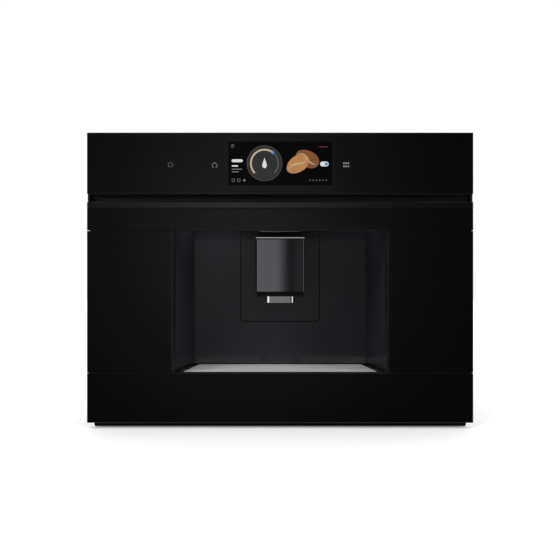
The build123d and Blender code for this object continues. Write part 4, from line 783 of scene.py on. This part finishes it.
ink = symbolInk()
thin, up = symbols["thin"], symbols["up"]
power = symbols["powerAcross"]
walls = [(symbols["homeAcross"] + x, up + z) for x, z in house]
tiles = [
    (symbols["menuAcross"] + symbols["menuPitch"] * i, up + symbols["menuRow"] * row)
    for row in (1, -1) for i in (-1, 0, 1)
]
for name, loops in {
    "symbolPowerRing": [arc(power, up, symbols["powerRadius"], thin, 125, 290)],
    "symbolPowerMark": [pill(power, up + symbols["powerMarkUp"], thin, symbols["powerMark"])],
    "symbolHome": [band(walls, symbols["bold"])],
    "symbolMenu": [pill(*tile, *symbols["menuTile"]) for tile in tiles],
}.items():
    flatShape(name, loops, -symbols["proud"], symbols["sunk"], ink)
print("touch symbols on the control glass")

# Pale rim across the back end of the outlet head's sloped roof; its bright colour is a painted highlight
# standing in for the light line along the roof's back edge
roofHighlightRim = {
    "up": 311.35, "width": 66.5, "height": 1.9, "corner": 0.5, "front": 140.0, "back": 142.8,
    # the pale colour is a painted highlight
    "colour": (0.80, 0.80, 0.81), "mottle": (0.85, 1.15), "grain": 1700.0, "rough": 0.40,
    "grainRough": 0.10, "grainHeight": 0.00003,
}


def rimHighlightFinish():
    t = newTree("roofHighlightRim")
    grain = t.noise(roofHighlightRim["grain"], 2.0)
    return t.skin({
        "Base Color": t.mottle(grain, roofHighlightRim),
        "Roughness": roofHighlightRim["rough"] + roofHighlightRim["grainRough"] * grain,
        "Normal": t.bump(grain, roofHighlightRim["grainHeight"]),
    })


rimLoop = pill(0.0, roofHighlightRim["up"], roofHighlightRim["width"], roofHighlightRim["height"], roofHighlightRim["corner"])
flatShape(
    "outletRoofHighlightRim", [rimLoop], roofHighlightRim["front"], roofHighlightRim["back"], rimHighlightFinish(), "outlet"
)
print("rim on the outlet's roof")

# Roasted beans lying in the bean container
beans = {
    "count": 90, "length": 9.5 * mm, "sizes": (0.9, 1.08), "apart": 0.62, "seed": 4, "tries": 20000,
    "around": 14, "along": 8,  # facets of a bean
    "wall": 6.5 * mm, "bottom": 30 * mm, "pile": 14 * mm, "rock": 0.7,
    "width": 0.68, "height": 0.62, "taper": 0.1, "flatSide": 0.35, "crease": 0.10, "creaseWidth": 0.09,
    "colour": (0.125, 0.052, 0.024), "mottle": (0.6, 1.5), "oil": 160.0, "pits": 2600.0,
    "rough": 0.30, "pitRough": 0.25, "pitDepth": 0.0001,
}


def beanFinish():
    t = newTree("roastedBean")
    oil = t.noise(beans["oil"], 3.0)
    pits = t.noise(beans["pits"], 2.0)
    return t.skin({
        "Base Color": t.mottle(oil, beans),
        "Roughness": beans["rough"] + beans["pitRough"] * pits,
        "Normal": t.bump(pits, beans["pitDepth"]),
    })


def oneBean(bm, place, turn, size):
    # a squashed round with a flat, creased side
    made = bmesh.ops.create_uvsphere(
        bm, u_segments=beans["around"], v_segments=beans["along"], radius=0.5
    )["verts"]
    for vert in made:
        x, y, z = vert.co
        if z < 0:
            z *= beans["flatSide"]
            z += beans["crease"] * max(0.0, 1 - abs(y) / beans["creaseWidth"])
        shaped = Vector((x, y * beans["width"] * (1 - beans["taper"] * x), z * beans["height"])) * size
        vert.co = place + turn @ shaped


low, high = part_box("bean_container")
dice = random.Random(beans["seed"])
bm = bmesh.new()
wall = beans["wall"] + beans["length"] / 2
placed = []
tries = 0
while len(placed) < beans["count"] and tries < beans["tries"]:
    tries += 1
    spot = Vector((
        dice.uniform(low.x + wall, high.x - wall), dice.uniform(low.y + wall, high.y - wall),
        low.z + beans["bottom"] + beans["pile"] * (len(placed) / beans["count"]),
    ))
    if all((spot - other).length > beans["length"] * beans["apart"] for other in placed):
        placed.append(spot)
        spin = Matrix.Rotation(dice.uniform(0, 2 * pi), 3, "Z")
        rock = Matrix.Rotation(dice.uniform(-beans["rock"], beans["rock"]), 3, "X")
        oneBean(bm, spot, spin @ rock, beans["length"] * dice.uniform(*beans["sizes"]))
beanMesh = meshFrom("coffeeBeans", bm, beanFinish())
for face in beanMesh.polygons:
    face.use_smooth = True
beanPile = put("coffeeBeans", beanMesh)
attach(beanPile, "chassis")
print("beans laid:", len(placed))

# Studio: pale floor, white surroundings, soft suns, small niche lamps, a dim room behind the camera
studio = {
    "sky": 0.70,
    "lamps": {  # strength as a share of full daylight on a card held square to the lamp
        "keyLamp": {"azimuth": -35.0, "elevation": 42.0, "share": 0.36, "softness": 22.0},
        "fillLamp": {"azimuth": 42.0, "elevation": 35.0, "share": 0.30, "softness": 30.0},
        "backLamp": {"azimuth": 178.0, "elevation": 68.0, "share": 0.26, "softness": 50.0},
    },
    "lampDistance": 3.0,
    "nicheLamps": {  # small soft lamps under the roof of the niche, either side of the outlet
        "nicheLampLeft": {"across": -0.108, "power": 0.056},
        "nicheLampRight": {"across": 0.108, "power": 0.024},
    },
    "nicheLampSize": (0.08, 0.06),
    "nicheLampBack": 0.085,
    "nicheLampHeight": 0.3425,
}

# What polished faces see, placed by direction: across, back and up run from -1 to 1
room = {
    "around": 0.35, "aroundFade": (0.55, 0.90),  # level all round, fading out towards the camera
    "behind": 0.65, "behindOpen": (0.0, 0.5),  # what comes on top of it behind the machine
    "glows": (  # soft patches behind the camera
        {"across": -0.047, "up": 0.055, "level": 0.265, "acrossSpread": 0.144, "upSpread": 0.165},
        {"across": -0.050, "up": 0.42, "level": 0.55, "acrossSpread": 0.140, "upSpread": 0.13},
    ),
    "glowsOpen": (0.0, 0.3),
    "cards": (  # upright pale cards left and right of the camera, from one direction to another
        {"from": -0.58, "to": -0.30, "level": 0.98},
        {"from": -0.90, "to": -0.58, "level": 0.95},
        {"from": 0.58, "to": 0.90, "level": 0.72},
    ),
    "cardsOpen": (0.0, 0.1), "cardSoft": 0.05, "cardTop": (0.22, 0.30), "cardFoot": (-0.35, -0.25),
}


def roomForGloss(across, back, up):
    toCamera = -1.0 * back
    level = room["around"] * (1.0 - toCamera.above(*room["aroundFade"]))
    level = level + room["behind"] * back.above(*room["behindOpen"])
    for glow in room["glows"]:
        a = (across - glow["across"]) / glow["acrossSpread"]
        u = (up - glow["up"]) / glow["upSpread"]
        fading = e ** (-1.0 * (a * a + u * u))
        level = level + glow["level"] * fading * toCamera.above(*room["glowsOpen"])
    before = toCamera.above(*room["cardsOpen"])
    upright = before * (1.0 - up.above(*room["cardTop"])) * up.above(*room["cardFoot"])
    soft = room["cardSoft"]
    for card in room["cards"]:
        started = across.above(card["from"] - soft, card["from"] + soft)
        ended = across.above(card["to"] - soft, card["to"] + soft)
        mask = started * (1.0 - ended)
        level = level + card["level"] * mask * upright
    return level


def makeWorld():
    world = bpy.context.scene.world or bpy.data.worlds.new("studio")
    bpy.context.scene.world = world
    t = Tree(world)
    way = t.node("TexCoord", out="Generated")
    across, back, up = [t.node("SeparateXYZ", {}, {0: way}, out=letter) for letter in "XYZ"]
    straight, gloss, through = t.rays()
    seen = (straight + through).clamped()
    other = gloss * roomForGloss(across, back, up) + (1.0 - gloss) * studio["sky"]
    level = seen + (1.0 - seen) * other
    t.end(t.node("Background", {}, {"Color": level, "Strength": 1.0}), "OutputWorld")


floor = {
    "half": 8.0, "steps": 8, "drop": 0.0002, "colour": (0.80, 0.80, 0.80), "mottle": (0.99, 1.0),
    "cloud": 2.0, "rough": 0.7, "lift": 0.20, "openBefore": 0.02,
}


def floorPaint():
    t = newTree("paleFloor")
    cloud = t.noise(floor["cloud"], 2.0)
    paint = t.node("BsdfPrincipled", {}, {"Base Color": t.mottle(cloud, floor), "Roughness": floor["rough"]})
    lift = t.node("Emission", {}, {"Color": (1.0, 1.0, 1.0), "Strength": floor["lift"]})
    lifted = t.node("AddShader", {}, {0: paint, 1: lift})
    straight, gloss, through = t.rays()
    seen = (straight + gloss + through).clamped()
    painted = t.node("MixShader", {}, {0: seen, 1: paint, 2: lifted})
    # before the machine the polish looks past the floor into the dim room
    before = 1.0 - t.axis("Y").above(frontPlane - floor["openBefore"], frontPlane)
    clearWay = t.node("BsdfTransparent")
    return t.end(t.node("MixShader", {}, {0: gloss * before, 1: painted, 2: clearWay}))


def makeFloor():
    steps = floor["steps"]
    places = [floor["half"] * (2 * i / steps - 1) for i in range(steps + 1)]
    bm = bmesh.new()
    grid = [[bm.verts.new((x, y, -floor["drop"])) for y in places] for x in places]
    for i in range(steps):
        for j in range(steps):
            bm.faces.new((grid[i][j], grid[i + 1][j], grid[i + 1][j + 1], grid[i][j + 1]))
    floorPiece = put("studioFloor", meshFrom("studioFloor", bm, floorPaint()))


def makeLamps():
    for name, lamp in studio["lamps"].items():
        light = bpy.data.lights.new(name, "SUN")
        light.energy = lamp["share"] * pi
        light.angle = radians(lamp["softness"])
        stand = put(name, light)
        turn, rise = radians(lamp["azimuth"]), radians(lamp["elevation"])
        towards = Vector((sin(turn) * cos(rise), -cos(turn) * cos(rise), sin(rise)))
        stand.rotation_mode = "QUATERNION"
        stand.rotation_quaternion = towards.to_track_quat("Z", "Y")
        stand.location = towards * studio["lampDistance"]
    for name, lamp in studio["nicheLamps"].items():
        light = bpy.data.lights.new(name, "AREA")
        light.shape = "RECTANGLE"
        light.size, light.size_y = studio["nicheLampSize"]
        light.energy = lamp["power"]
        stand = put(name, light)
        stand.location = (lamp["across"], frontPlane + studio["nicheLampBack"], studio["nicheLampHeight"])
        stand.visible_camera = False


# Camera on the machine's middle line, level, at the height the drip plate's slant gives
camera = {
    "place": (0.0, -1.4925, 0.2292), "lens": 54.36, "sensor": 36.0, "shift": (-0.00023, -0.0011),
    "clipStart": 0.05,
}


def makeCamera():
    data = bpy.data.cameras.new("photoCamera")
    data.sensor_width = camera["sensor"]
    data.lens = camera["lens"]
    data.shift_x, data.shift_y = camera["shift"]
    data.clip_start = camera["clipStart"]
    stand = put("photoCamera", data)
    stand.location = camera["place"]
    stand.rotation_euler = (pi / 2, 0.0, 0.0)
    bpy.context.scene.camera = stand


makeWorld()
makeFloor()
makeLamps()
makeCamera()
bpy.context.scene.view_settings.view_transform = "Standard"
print("studio, lamps and camera set")

bpy.context.view_layer.update()
